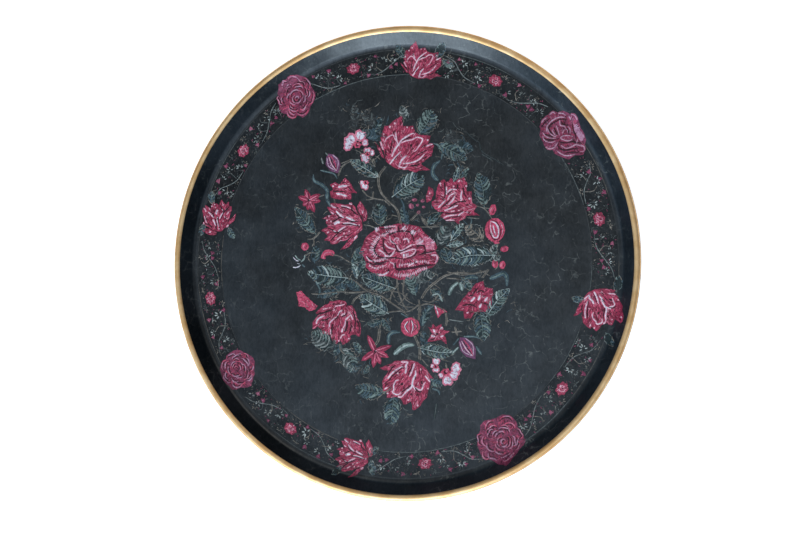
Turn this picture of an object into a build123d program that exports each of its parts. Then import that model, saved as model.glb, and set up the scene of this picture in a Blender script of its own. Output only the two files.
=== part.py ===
from build123d import *
import os
from math import ceil, cos, pi, radians, sin

# Round painted serving tray: a dish pressed from one steel sheet, its edge rolled outward over a
# wire hoop, lacquered black on both sides, gilded on the rim and painted by hand on the floor.
# Millimetres. Origin at the centre of the underside, +Z up, +Y towards the top of the bouquet.

# ---- driving dimensions ---------------------------------------------------------------------
TRAY_R = 225.0            # over the rolled rim
RIM_RISE = 13.0           # top of the rim above the serving floor
FLAT_R = 205.0            # where the flat floor turns up into the cove
WALL_ANGLE = 48.0         # slope of the wall from horizontal, degrees
SHEET = 0.9               # steel
COAT = 0.4                # lacquer, on each side
GILT = 0.5                # gilding over the rolled rim
PAINT = 0.3               # oil painting on the lacquer
WIRE_R = 2.25             # rim wire
WIRE_GAP = 0.8            # between the butted ends of the rim wire
CURL_END = -160.0         # where the rolled sheet stops, degrees round the wire
GILT_END = 30.0           # outer edge of the gilding, degrees round the wire
BEAD_STEP = 20.0          # most that one face of the bead turns, degrees

# ---- the section, worked out from them ------------------------------------------------------
FLOOR_Z = 2 * COAT + SHEET
STEEL_R = WIRE_R + SHEET                       # outside of the rolled sheet
BEAD_R = STEEL_R + GILT                        # outside of the gilding
FACE_GAP = STEEL_R + COAT                      # outside of the lacquer on the sheet
BEAD_X = TRAY_R - FACE_GAP                     # centre of the bead
BEAD_Z = FLOOR_Z + RIM_RISE - BEAD_R
WALL_DX = cos(radians(WALL_ANGLE))
WALL_DZ = sin(radians(WALL_ANGLE))
TOP_X = BEAD_X - WALL_DZ * FACE_GAP            # top of that face, beside the bead
TOP_Z = BEAD_Z + WALL_DX * FACE_GAP
# The cove is the arc that meets both the floor and the line of the wall.
COVE_R = (WALL_DZ * (TOP_X - FLAT_R) - WALL_DX * (TOP_Z - FLOOR_Z)) / (1 - WALL_DX)
SEAM = 90.0 + WALL_ANGLE                       # where the wall meets the bead, degrees round it

# ---- the painting: (angle round the tray, size along the border, size across it) -------------
BORDER_R = 192.0
BORDER_FLOWERS = [
    (84, 36, 38), (37, 45, 45), (346, 44, 40), (299.5, 42, 42),
    (256, 32, 42), (212, 40, 42), (166, 36, 36), (122.5, 41, 39),
]
GAP_FLOWER = 10.0         # small rose halfway between two large ones
LINE_RS = (180.2, 204.3)  # border lines
LINE_WIDTH = 0.8
VINE_SWING = 6.5          # vine's reach either side of the border's middle
VINE_WAVES = 40           # round the whole border
VINE_WIDTH = 1.0
STEM_WIDTH = 2.0

# Bouquet flowers: (x, y, width, height).
FLOWERS = [
    (-2, 10, 76, 52), (4, 112, 52, 50), (50, 57, 46, 42), (-56, 37, 42, 44),
    (-63, -57, 46, 38), (5, -116, 46, 44), (71, -36, 30, 30), (90, 29, 18, 22),
    (64, -83, 15, 20), (-67, 96, 15, 20), (-45, 117, 20, 15), (-32, 104, 12, 11),
    (-58, 72, 24, 19), (-91, 61, 20, 20), (-96, -36, 17, 16), (9, -62, 17, 17),
    (35, -68, 18, 18), (-25, -85, 24, 24), (34, -99, 10, 10), (46, -105, 17, 15),
    (88, 49, 9, 12), (99, 11, 9, 9), (95, -5, 11, 8), (-95, 16, 8, 8),
]
# Bouquet leaves: (x, y, direction in degrees, length).
LEAVES = [
    (24, 136, 60, 24), (47, 106, 40, 28), (-40, 93, 150, 28), (6, 76, 20, 34),
    (-94, 38, 160, 28), (77, 68, 70, 28), (-70, -12, 200, 38), (-19, -18, 200, 30),
    (-27, -42, 210, 24), (70, 2, 10, 38), (96, -40, 290, 26), (40, -88, 330, 26),
    (-33, -124, 190, 22), (-9, -140, 270, 22), (-47, -92, 200, 30), (98, -20, 300, 22),
]
# Bouquet stems: start, a point on the way, end.
STEMS = [
    ((0, 36), (-10, 62), (-16, 92)), ((2, -16), (-26, -14), (-48, 10)),
    ((14, -14), (38, 8), (74, -2)), ((12, -26), (16, -56), (14, -94)),
    ((-10, 60), (12, 70), (40, 62)), ((-14, 78), (-34, 84), (-52, 92)),
    ((10, -30), (-14, -46), (-44, -52)), ((16, -34), (40, -44), (60, -38)),
]


def arc_point(radius, degrees):
    """A point in the section, round the bead's centre."""
    return (BEAD_X + radius * cos(radians(degrees)), BEAD_Z + radius * sin(radians(degrees)))


def dish_band(top, bottom):
    """Floor, cove and wall between two depths under the serving face, up to the bead's seam."""
    centre_z = FLOOR_Z + COVE_R

    def run(depth):
        radius = COVE_R + depth
        foot = (FLAT_R, FLOOR_Z - depth)
        half = radians(WALL_ANGLE / 2)
        mid = (FLAT_R + radius * sin(half), centre_z - radius * cos(half))
        end = (FLAT_R + radius * WALL_DZ, centre_z - radius * WALL_DX)
        return foot, mid, end, arc_point(FACE_GAP - depth, SEAM)

    foot_a, mid_a, end_a, top_a = run(top)
    foot_b, mid_b, end_b, top_b = run(bottom)
    edges = [
        Line((0, FLOOR_Z - top), foot_a),
        ThreePointArc(foot_a, mid_a, end_a),
        Line(end_a, top_a),
        Line(top_a, top_b),
        Line(top_b, end_b),
        ThreePointArc(end_b, mid_b, foot_b),
        Line(foot_b, (0, FLOOR_Z - bottom)),
        Line((0, FLOOR_Z - bottom), (0, FLOOR_Z - top)),
    ]
    return make_face(edges)


def bead_arcs(radius, start, end):
    """An arc round the wire in equal pieces, clockwise or back, each turning BEAD_STEP or less."""
    count = ceil(abs(end - start) / BEAD_STEP)
    turn = (end - start) / count
    pieces = []
    for index in range(count):
        first = start + turn * index
        stops = [arc_point(radius, first + turn * part) for part in (0, 0.5, 1)]
        pieces.append(ThreePointArc(*stops))
    return pieces


def bead_band(inner, outer, start, end):
    """Part of a ring round the wire, clockwise from start to end degrees."""
    edges = bead_arcs(outer, start, end)
    edges.append(Line(arc_point(outer, end), arc_point(inner, end)))
    edges.extend(bead_arcs(inner, end, start))
    edges.append(Line(arc_point(inner, start), arc_point(outer, start)))
    return make_face(edges)


def turned(section, arc=360.0):
    """The solid that a section in the XZ plane sweeps round the tray's axis, a face for each edge."""
    return revolve(Plane.XZ * section, axis=Axis.Z, revolution_arc=arc, clean=False)


def oval(x, y, width, height, turn=0.0):
    return Location((x, y), turn) * Ellipse(width / 2, height / 2)


def leaf(x, y, turn, length):
    """A lens of two arcs, a third as wide as it is long."""
    half = length / 2
    belly = length / 6
    edges = [
        ThreePointArc((-half, 0), (0, belly), (half, 0)),
        ThreePointArc((half, 0), (0, -belly), (-half, 0)),
    ]
    return Location((x, y), turn) * make_face(edges)


def on_floor(sketch):
    """Paint on the flat floor."""
    return extrude(Location((0, 0, FLOOR_Z)) * sketch, amount=PAINT)


def ring(radius, width):
    return Circle(radius + width / 2) - Circle(radius - width / 2)


def polar(radius, degrees):
    return (radius * cos(radians(degrees)), radius * sin(radians(degrees)))


def wave_ring(radius):
    """Closed serpentine line about a circle, an arc for each half wave."""
    step = 180.0 / VINE_WAVES
    edges = []
    for index in range(2 * VINE_WAVES):
        swing = VINE_SWING if index % 2 else -VINE_SWING
        start = index * step
        stops = (polar(radius, start), polar(radius + swing, start + step / 2))
        edges.append(ThreePointArc(*stops, polar(radius, start + step)))
    return make_face(edges)


# ---- the steel ------------------------------------------------------------------------------
dish_section = dish_band(COAT, COAT + SHEET)
curl_section = bead_band(WIRE_R, STEEL_R, SEAM, CURL_END)
steel_section = dish_section + curl_section
steel_dish = turned(steel_section)
wire_section = Location((BEAD_X, BEAD_Z)) * Circle(WIRE_R)
wire_arc = 360.0 * (1 - WIRE_GAP / (2 * pi * BEAD_X))
rim_wire = turned(wire_section, wire_arc)

# ---- lacquer and gilding --------------------------------------------------------------------
face_section = dish_band(0, COAT)
black_lacquer_face = turned(face_section)
back_skin = dish_band(COAT + SHEET, FLOOR_Z)
back_bead = bead_band(STEEL_R, FACE_GAP, GILT_END, CURL_END)
back_seam = bead_band(WIRE_R, FACE_GAP, CURL_END, SEAM - 360)
back_section = (back_skin + back_bead + back_seam) - steel_section - face_section - wire_section
black_lacquer_back = turned(back_section)
gilt_rim = turned(bead_band(STEEL_R, BEAD_R, SEAM, GILT_END))

# ---- the painted border ---------------------------------------------------------------------
large_patches = []
for angle, along, across in BORDER_FLOWERS:
    large_patches.append(oval(*polar(BORDER_R, angle), across, along, angle))
small_patches = []
for index, (angle, along, across) in enumerate(BORDER_FLOWERS):
    following = BORDER_FLOWERS[(index + 1) % len(BORDER_FLOWERS)][0]
    middle = angle - ((angle - following) % 360) / 2
    small_patches.append(oval(*polar(BORDER_R, middle), GAP_FLOWER, GAP_FLOWER))
paint_skin = turned(dish_band(-PAINT, 0))
border_flowers = []
for patch in large_patches + small_patches:
    border_flowers.append(paint_skin & extrude(patch, amount=FLOOR_Z + RIM_RISE))
covered = Sketch() + large_patches + small_patches
border_lines = []
for radius in LINE_RS:
    border_lines.extend(on_floor(ring(radius, LINE_WIDTH) - covered).solids())
vine = wave_ring(BORDER_R + VINE_WIDTH / 2) - wave_ring(BORDER_R - VINE_WIDTH / 2) - covered
border_vine = on_floor(vine).solids()

# ---- the painted bouquet --------------------------------------------------------------------
flower_sketch = Sketch() + [oval(*flower) for flower in FLOWERS]
leaf_sketch = Sketch() + [leaf(*spec) for spec in LEAVES] - flower_sketch
stem_lines = [ThreePointArc(*points) for points in STEMS]
stem_sketch = Sketch() + [trace(line, line_width=STEM_WIDTH) for line in stem_lines]
stem_sketch = stem_sketch - flower_sketch - leaf_sketch
bouquet_flowers = on_floor(flower_sketch).solids()
bouquet_leaves = on_floor(leaf_sketch).solids()
bouquet_stems = on_floor(stem_sketch).solids()

# ---- written out ----------------------------------------------------------------------------
nodes = {
    "steel_dish": [steel_dish],
    "rim_wire": [rim_wire],
    "black_lacquer_face": [black_lacquer_face],
    "black_lacquer_back": [black_lacquer_back],
    "gilt_rim": [gilt_rim],
    "border_lines": border_lines,
    "border_vine": border_vine,
    "border_flowers": border_flowers,
    "bouquet_stems": bouquet_stems,
    "bouquet_leaves": bouquet_leaves,
    "bouquet_flowers": bouquet_flowers,
}

os.makedirs("parts", exist_ok=True)
for name, pieces in nodes.items():
    solids = [solid for piece in pieces for solid in piece.solids()]
    whole = solids[0] if len(solids) == 1 else Compound(children=solids)
    whole.label = name
    export_step(whole, f"parts/{name}.step")
    print(name, len(solids), "solids", round(sum(s.volume for s in solids) / 1000, 3), "cm3")
print("cove radius", round(COVE_R, 2), "overall height", round(BEAD_Z + BEAD_R, 2))
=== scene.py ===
import math
import random

import bpy
from mathutils import Matrix, Vector
from mathutils.geometry import delaunay_2d_cdt


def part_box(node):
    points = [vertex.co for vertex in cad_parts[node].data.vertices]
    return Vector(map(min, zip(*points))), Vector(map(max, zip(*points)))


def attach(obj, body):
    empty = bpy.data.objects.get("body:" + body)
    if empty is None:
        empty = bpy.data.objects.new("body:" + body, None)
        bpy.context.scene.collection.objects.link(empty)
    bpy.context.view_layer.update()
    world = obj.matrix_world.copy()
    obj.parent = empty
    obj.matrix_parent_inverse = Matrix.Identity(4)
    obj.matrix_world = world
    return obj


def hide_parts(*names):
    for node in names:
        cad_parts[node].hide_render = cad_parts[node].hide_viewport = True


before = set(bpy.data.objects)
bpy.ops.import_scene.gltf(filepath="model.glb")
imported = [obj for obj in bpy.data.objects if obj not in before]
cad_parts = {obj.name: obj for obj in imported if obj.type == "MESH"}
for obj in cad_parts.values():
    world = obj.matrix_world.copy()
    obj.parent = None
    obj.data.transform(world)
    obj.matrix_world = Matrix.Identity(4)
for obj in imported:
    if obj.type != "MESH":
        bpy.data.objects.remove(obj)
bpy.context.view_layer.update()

# Everything is drawn in millimetres, as in the CAD, and turned into metres when a mesh is made.
MM = 0.001

# ---- the tray's section, from the frame and the same driving sizes as the CAD ------------------
TRAY_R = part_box("black_lacquer_back")[1][0] / MM
FLOOR_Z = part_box("bouquet_flowers")[0][2] / MM
RIM_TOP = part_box("gilt_rim")[1][2] / MM
FLAT_R = 205.0
WALL_ANGLE = math.radians(48.0)
SHEET = 0.9
COAT = 0.4
GILT = 0.5
WIRE_R = 2.25
GILT_END = math.radians(30.0)
STEEL_R = WIRE_R + SHEET
FACE_GAP = STEEL_R + COAT
BEAD_R = STEEL_R + GILT
BEAD_X = TRAY_R - FACE_GAP
BEAD_Z = RIM_TOP - BEAD_R
TOP_X = BEAD_X - math.sin(WALL_ANGLE) * FACE_GAP
TOP_Z = BEAD_Z + math.cos(WALL_ANGLE) * FACE_GAP
COVE_R = (
    math.sin(WALL_ANGLE) * (TOP_X - FLAT_R) - math.cos(WALL_ANGLE) * (TOP_Z - FLOOR_Z)
) / (1 - math.cos(WALL_ANGLE))
COVE_END = FLAT_R + COVE_R * math.sin(WALL_ANGLE)
SEAM = math.pi / 2 + WALL_ANGLE

# ---- where the camera stands -------------------------------------------------------------------
VIEW_TILT = math.radians(12.2)        # from straight down
VIEW_TURN = math.radians(-15.0)       # the way it leans, from +X
VIEW_DISTANCE = 1.2
VIEW_TARGET = Vector((-0.001, -0.0044, FLOOR_Z * MM))
LENS = 56.7
SENSOR_WIDTH = 36.0


# ---- nodes -------------------------------------------------------------------------------------
class Nodes:
    """A short way to build one node tree."""

    def __init__(self, tree):
        self.tree = tree

    def add(self, kind, inputs=None, **settings):
        node = self.tree.nodes.new("ShaderNode" + kind)
        for key, value in settings.items():
            setattr(node, key, value)
        for key, value in (inputs or {}).items():
            self.set(node, key, value)
        return node

    def set(self, node, key, value):
        if isinstance(value, bpy.types.NodeSocket):
            self.tree.links.new(value, node.inputs[key])
        else:
            node.inputs[key].default_value = value

    def math(self, operation, a, b=0.0, c=0.0, clamp=False):
        node = self.add("Math", {0: a, 1: b, 2: c}, operation=operation, use_clamp=clamp)
        return node.outputs[0]

    def product(self, first, *others):
        for other in others:
            first = self.math("MULTIPLY", first, other)
        return first

    def mix(self, factor, a, b):
        """Colour a turned into b by a factor. A plain tuple is an opaque colour."""
        a, b = ((*c, 1) if isinstance(c, tuple) else c for c in (a, b))
        return self.add("MixRGB", {"Fac": factor, "Color1": a, "Color2": b}).outputs[0]

    def place(self, scale=(1, 1, 1), turn=0.0):
        """Object coordinates, stretched and turned about Z."""
        source = self.add("TexCoord").outputs["Object"]
        turned = self.add("Mapping", {"Vector": source, "Rotation": (0, 0, turn)})
        node = self.add("Mapping", {"Vector": turned.outputs[0], "Scale": scale})
        return node.outputs[0]

    def noise(self, where, scale, detail=3.0, rough=0.5, distortion=0.0):
        inputs = {"Vector": where, "Scale": scale, "Detail": detail, "Roughness": rough}
        return self.add("TexNoise", {**inputs, "Distortion": distortion}).outputs["Fac"]

    def band(self, value, low, high, to_low=0.0, to_high=1.0):
        """A soft step: to_low where value is low, to_high where it is high."""
        inputs = {"Value": value, "From Min": low, "From Max": high}
        inputs.update({"To Min": to_low, "To Max": to_high})
        return self.add("MapRange", inputs, interpolation_type="SMOOTHSTEP").outputs[0]

    def bump(self, height, strength, distance, under=None):
        inputs = {"Height": height, "Strength": strength, "Distance": distance}
        if under is not None:
            inputs["Normal"] = under
        return self.add("Bump", inputs).outputs[0]


def material(name, **constants):
    """A new material: its node helper and its Principled shader with constant values set."""
    made = bpy.data.materials.new(name)
    made.use_nodes = True
    shader = made.node_tree.nodes["Principled BSDF"]
    for key, value in constants.items():
        shader.inputs[key.replace("_", " ")].default_value = value
    return made, Nodes(made.node_tree), shader


def add_object(name, data):
    """A new object in the scene that shows the data."""
    made = bpy.data.objects.new(name, data)
    bpy.context.scene.collection.objects.link(made)
    return made


# ---- finishes ----------------------------------------------------------------------------------
def slub_threads(nodes):
    """Fine threads that run with the Y axis, in patches."""
    threads = nodes.noise(nodes.place((620, 60, 60)), 1.0, 2.0, 0.6)
    patches = nodes.noise(nodes.place((60, 16, 16)), 1.0, 2.0, 0.5)
    return nodes.product(nodes.band(threads, 0.56, 0.78), nodes.band(patches, 0.42, 0.7))


def crazing_cracks(nodes, flat, across):
    """Broken cracks, thick in some patches and missing in others, and worse towards +X."""
    wander = nodes.add("TexNoise", {"Vector": flat, "Scale": 70.0, "Detail": 3.0})
    inputs = {0: wander.outputs["Color"], "Scale": 0.016}
    shift = nodes.add("VectorMath", inputs, operation="SCALE").outputs[0]
    bent = nodes.add("VectorMath", {0: flat, 1: shift}, operation="ADD").outputs[0]
    cells = nodes.add("TexVoronoi", {"Vector": bent, "Scale": 74.0}, feature="DISTANCE_TO_EDGE")
    thin = nodes.band(cells.outputs["Distance"], 0.036, 0.006)
    patchy = nodes.band(nodes.noise(flat, 22.0, 4.0, 0.6), 0.41, 0.63)
    broken = nodes.band(nodes.noise(flat, 240.0, 2.0, 0.5), 0.4, 0.6)
    return nodes.product(thin, patchy, broken, nodes.band(across, -0.12, 0.06, 0.5, 1.15))


def dust_specks(nodes, flat):
    """Small pale specks of grit, in some places only."""
    grit = nodes.add("TexVoronoi", {"Vector": flat, "Scale": 330.0}).outputs["Distance"]
    dusty = nodes.band(nodes.noise(flat, 75.0), 0.6, 0.68)
    return nodes.product(nodes.band(grit, 0.16, 0.05), dusty)


def border_ground(nodes, x, y, cloud):
    """1 on the border, between its two lines, with edges that waver a little."""
    squares = nodes.math("ADD", nodes.math("POWER", x, 2.0), nodes.math("POWER", y, 2.0))
    waver = nodes.band(cloud, 0.2, 0.8, -0.0005, 0.0005)
    radius = nodes.math("ADD", nodes.math("SQRT", squares), waver)
    return nodes.product(nodes.band(radius, 0.1797, 0.1807), nodes.band(radius, 0.2050, 0.2040))


def lacquer_finish():
    """Black lacquer under varnish: faint slub lines, crazing, dust and a blacker border."""
    made, nodes, shader = material("black_lacquer", IOR=1.5, Coat_Roughness=0.14)
    flat = nodes.place()
    across, along, _ = nodes.add("SeparateXYZ", {0: flat}).outputs
    cloud = nodes.noise(flat, 14.0, 3.0, 0.55)
    lines = slub_threads(nodes)
    crazing = crazing_cracks(nodes, flat, across)
    specks = dust_specks(nodes, flat)
    ground = border_ground(nodes, across, along, cloud)

    tint = nodes.mix(
        nodes.band(cloud, 0.35, 0.65), (0.0026, 0.0040, 0.0054), (0.0072, 0.0104, 0.0138)
    )
    for share, mark, colour in (
        (0.5, lines, (0.040, 0.048, 0.052)), (0.68, crazing, (0.125, 0.122, 0.108)),
        (0.6, specks, (0.2, 0.21, 0.2)), (0.45, ground, (0.0016, 0.0019, 0.0022)),
    ):
        tint = nodes.mix(nodes.product(mark, share), tint, colour)
    nodes.set(shader, "Base Color", tint)

    # The varnish has sunk unevenly, in fine threads and soft blotches, so its shine is mottled.
    threads = nodes.noise(nodes.place((520, 240, 240)), 1.0, 4.0, 0.7)
    blotches = nodes.noise(flat, 46.0, 3.0, 0.6)
    sunk = nodes.math("ADD", nodes.band(threads, 0.3, 0.7, -0.10, 0.10),
                      nodes.band(blotches, 0.35, 0.65, -0.10, 0.10))
    shine = nodes.math("ADD", nodes.math("MULTIPLY_ADD", ground, -0.13, 0.5), sunk)
    nodes.set(shader, "Specular IOR Level", shine)
    nodes.set(shader, "Coat Weight", nodes.math("MULTIPLY_ADD", ground, -0.10, 0.35))
    dull = nodes.math("ADD", lines, nodes.math("ADD", crazing, specks), clamp=True)
    even = nodes.band(cloud, 0.3, 0.7, 0.30, 0.42)
    nodes.set(shader, "Roughness", nodes.math("MULTIPLY_ADD", dull, 0.2, even))
    waves = nodes.bump(nodes.noise(flat, 26.0, 2.0), 0.35, 0.0006)
    skin = nodes.bump(nodes.math("MULTIPLY_ADD", lines, 0.6, crazing), 0.4, 0.00012, waves)
    nodes.set(shader, "Normal", skin)
    nodes.set(shader, "Coat Normal", waves)
    return made


def back_finish():
    """Satin black on the underside, with scuffs and fine scratches."""
    made, nodes, shader = material("black_lacquer_back")
    flat = nodes.place()
    cloud = nodes.noise(flat, 18.0, 4.0, 0.6)
    tint = nodes.mix(cloud, (0.006, 0.006, 0.007), (0.016, 0.016, 0.018))
    scuff = nodes.noise(nodes.place((900, 30, 30), 0.7), 1.0, 2.0, 0.6)
    other = nodes.noise(nodes.place((36, 800, 36), 0.2), 1.0, 2.0, 0.6)
    marks = nodes.math("MAXIMUM", nodes.band(scuff, 0.66, 0.74), nodes.band(other, 0.67, 0.75))
    worn = nodes.product(marks, nodes.band(nodes.noise(flat, 8.0), 0.4, 0.7))
    nodes.set(shader, "Base Color", nodes.mix(worn, tint, (0.06, 0.058, 0.055)))
    nodes.set(shader, "Roughness", nodes.math("MULTIPLY_ADD", worn, 0.25, 0.34))
    nodes.set(shader, "Normal", nodes.bump(nodes.noise(flat, 420.0, 3.0), 0.25, 0.0003))
    return made


def gilt_finish():
    """Rubbed gilding: soft clouds of two golds, and darker spots where it has worn."""
    made, nodes, shader = material("gilding", Metallic=0.68)
    flat = nodes.place()
    cloud = nodes.noise(flat, 60.0, 4.0, 0.6)
    tint = nodes.mix(nodes.band(cloud, 0.35, 0.68), (0.82, 0.44, 0.17), (1.0, 0.63, 0.31))
    rubbed = nodes.band(nodes.noise(flat, 130.0, 5.0, 0.7), 0.66, 0.76)
    tint = nodes.mix(nodes.product(rubbed, 0.55), tint, (0.22, 0.13, 0.06))
    nodes.set(shader, "Base Color", tint)
    grain = nodes.noise(flat, 900.0, 3.0, 0.6)
    rough = nodes.band(grain, 0.3, 0.7, 0.36, 0.44)
    nodes.set(shader, "Roughness", nodes.math("MULTIPLY_ADD", rubbed, 0.2, rough))
    lumps = nodes.bump(nodes.noise(flat, 110.0, 2.0), 0.2, 0.0003)
    nodes.set(shader, "Normal", nodes.bump(grain, 0.12, 0.0001, lumps))
    return made


def steel_finish(name, dark):
    """Bare steel, inside the lacquer."""
    made, nodes, shader = material(name, Metallic=1.0)
    grain = nodes.noise(nodes.place((40, 700, 40)), 1.0, 3.0, 0.6)
    tint = nodes.mix(grain, (dark, dark, dark), (dark * 1.5, dark * 1.5, dark * 1.55))
    nodes.set(shader, "Base Color", tint)
    nodes.set(shader, "Roughness", nodes.band(grain, 0.3, 0.7, 0.3, 0.45))
    nodes.set(shader, "Normal", nodes.bump(grain, 0.3, 0.0002))
    return made


# ---- lathed skins ------------------------------------------------------------------------------
def arc(centre_x, centre_z, radius, start, end, steps):
    """Points of an arc in the section, from start to end radians, both included."""
    points = []
    for step in range(steps + 1):
        angle = start + (end - start) * step / steps
        points.append((centre_x + radius * math.cos(angle), centre_z + radius * math.sin(angle)))
    return points


def dish_line(depth):
    """The line of floor, cove and wall at a depth under the serving face, from the centre out."""
    floor_steps = 24
    points = [(FLAT_R * step / floor_steps, FLOOR_Z - depth) for step in range(floor_steps)]
    low = -math.pi / 2
    points += arc(FLAT_R, FLOOR_Z + COVE_R, COVE_R + depth, low, low + WALL_ANGLE, 20)
    gap = FACE_GAP - depth
    points.append((BEAD_X + gap * math.cos(SEAM), BEAD_Z + gap * math.sin(SEAM)))
    return points


def lathe(name, outline, finish, segments=480):
    """A closed solid of revolution from a closed outline in the section, as a smooth mesh."""
    verts = []
    faces = []
    rings = []
    for x, z in outline:
        if x < 1e-6:
            rings.append([len(verts)] * segments)
            verts.append((0.0, 0.0, z * MM))
            continue
        rings.append(list(range(len(verts), len(verts) + segments)))
        for step in range(segments):
            angle = 2 * math.pi * step / segments
            verts.append((x * MM * math.cos(angle), x * MM * math.sin(angle), z * MM))
    for ring, following in zip(rings, rings[1:] + rings[:1]):
        if ring[0] == ring[1] and following[0] == following[1]:
            continue
        for step in range(segments):
            other = (step + 1) % segments
            corners = [ring[step], ring[other], following[other], following[step]]
            faces.append(list(dict.fromkeys(corners)))
    mesh = bpy.data.meshes.new(name)
    mesh.from_pydata(verts, [], faces)
    mesh.validate()
    mesh.shade_smooth()
    mesh.materials.append(finish)
    piece = add_object(name, mesh)
    mesh.set_sharp_from_angle(angle=math.radians(35))
    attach(piece, "root")
    return piece


def make_skins():
    """The lacquer on both sides and the gilding, on the same section as their CAD solids."""
    face_line = dish_line(0.0)
    face = face_line + dish_line(COAT)[::-1]
    serving = lathe("serving_face_lacquer", face, lacquer_finish())
    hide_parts("black_lacquer_face")

    under_line = dish_line(COAT + SHEET + COAT)
    wall_top = under_line.pop()
    # The outer lacquer climbs the wall until it meets the coat round the bead.
    wall_foot = under_line[-1]
    meeting = bead_meeting(wall_foot, wall_top)
    seam_angle = math.atan2(meeting[1] - BEAD_Z, meeting[0] - BEAD_X) % (2 * math.pi)
    bead = arc(BEAD_X, BEAD_Z, FACE_GAP, seam_angle, 2 * math.pi + GILT_END, 30)
    inner = arc(BEAD_X, BEAD_Z, STEEL_R, 2 * math.pi + GILT_END, seam_angle, 30)
    steel_line = dish_line(COAT + SHEET)[:-1]
    back = under_line + bead + inner + steel_line[::-1]
    underside = lathe("underside_lacquer", back, back_finish())
    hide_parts("black_lacquer_back")

    crown = arc(BEAD_X, BEAD_Z, BEAD_R, SEAM, GILT_END, 28)
    seat = arc(BEAD_X, BEAD_Z, STEEL_R, GILT_END, SEAM, 28)
    gilding = lathe("rim_gilding", crown + seat, gilt_finish(), 720)
    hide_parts("gilt_rim")


def bead_meeting(foot, top):
    """Where the line from the wall's foot to its top first meets the coat round the bead."""
    dx, dz = top[0] - foot[0], top[1] - foot[1]
    px, pz = foot[0] - BEAD_X, foot[1] - BEAD_Z
    a = dx * dx + dz * dz
    b = 2 * (px * dx + pz * dz)
    c = px * px + pz * pz - FACE_GAP ** 2
    t = (-b - math.sqrt(b * b - 4 * a * c)) / (2 * a)
    return foot[0] + t * dx, foot[1] + t * dz


# ---- oil paint ---------------------------------------------------------------------------------
# Each pigment is two tones that meet in brush streaks: (darker, lighter), linear colour.
PIGMENTS = {
    "wine": ((0.220, 0.014, 0.038), (0.500, 0.044, 0.100)),
    "crimson": ((0.480, 0.036, 0.084), (0.830, 0.112, 0.192)),
    "rose": ((0.650, 0.115, 0.200), (0.880, 0.280, 0.350)),
    "blush": ((0.780, 0.350, 0.420), (0.960, 0.660, 0.700)),
    "white": ((0.700, 0.520, 0.590), (0.950, 0.900, 0.920)),
    "maroon": ((0.022, 0.002, 0.006), (0.075, 0.006, 0.020)),
    "plum": ((0.160, 0.020, 0.052), (0.340, 0.058, 0.118)),
    "magenta": ((0.270, 0.048, 0.088), (0.440, 0.120, 0.180)),
    "heather": ((0.400, 0.140, 0.225), (0.600, 0.295, 0.390)),
    "mauve": ((0.480, 0.260, 0.340), (0.720, 0.480, 0.560)),
    "purple": ((0.130, 0.028, 0.080), (0.250, 0.080, 0.160)),
    "teal": ((0.007, 0.012, 0.012), (0.022, 0.036, 0.036)),
    "sea": ((0.082, 0.117, 0.106), (0.245, 0.298, 0.258)),
    "mint": ((0.290, 0.345, 0.315), (0.620, 0.650, 0.590)),
    "navy": ((0.028, 0.052, 0.066), (0.090, 0.134, 0.152)),
    "umber": ((0.140, 0.110, 0.084), (0.370, 0.300, 0.235)),
    "umber_dark": ((0.050, 0.042, 0.034), (0.140, 0.118, 0.096)),
    "shade": ((0.026, 0.026, 0.026), (0.060, 0.058, 0.054)),
    "grey": ((0.056, 0.062, 0.059), (0.140, 0.146, 0.133)),
    "pale": ((0.170, 0.175, 0.160), (0.400, 0.400, 0.360)),
    "cream": ((0.270, 0.280, 0.255), (0.620, 0.620, 0.560)),
}


def oil(name):
    """Oil paint dragged with a soft brush: streaked colour, ridges, a little varnish on top."""
    dark, light = PIGMENTS[name]
    made, nodes, shader = material(
        "oil_" + name, Specular_IOR_Level=0.35, Coat_Weight=0.08, Coat_Roughness=0.25
    )
    flat = nodes.place()
    wander = nodes.noise(flat, 190.0, 3.0, 0.6, 0.6)
    bristle = nodes.noise(nodes.place((1500, 420, 420), 0.5), 1.0, 2.0, 0.6)
    mixed = nodes.math("MULTIPLY_ADD", bristle, 0.45, nodes.product(wander, 0.75))
    tint = nodes.mix(nodes.band(mixed, 0.42, 0.78), dark, light)
    # Thin places, where the brush ran dry over the black.
    thin = nodes.band(nodes.noise(flat, 420.0, 3.0, 0.65), 0.47, 0.33)
    bare = tuple(0.3 * part + 0.003 for part in dark)
    tint = nodes.mix(nodes.product(thin, 0.8), tint, bare)
    # The cloth-like slub of the lacquer shows through as fine darker threads.
    thread = nodes.noise(nodes.place((780, 60, 60)), 1.0, 2.0, 0.6)
    worn = nodes.band(thread, 0.6, 0.76)
    faint = tuple(0.35 * part + 0.004 for part in dark)
    tint = nodes.mix(nodes.product(worn, 0.45), tint, faint)
    nodes.set(shader, "Base Color", tint)
    nodes.set(shader, "Roughness", nodes.band(wander, 0.3, 0.7, 0.42, 0.6))
    nodes.set(shader, "Normal", nodes.bump(bristle, 0.35, 0.00015))
    return made


OILS = {name: oil(name) for name in PIGMENTS}


def surface(x, y, height):
    """The point at a height over the serving face, in mm, measured square to the face."""
    radius = math.hypot(x, y)
    climb = math.asin(min(max(radius - FLAT_R, 0.0) / COVE_R, math.sin(WALL_ANGLE)))
    up_wall = max(radius - COVE_END, 0.0) * math.tan(WALL_ANGLE)
    shrink = 1.0 - height * math.sin(climb) / radius if radius else 1.0
    level = FLOOR_Z + COVE_R * (1 - math.cos(climb)) + up_wall + height * math.cos(climb)
    return (x * shrink, y * shrink, level)


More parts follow.
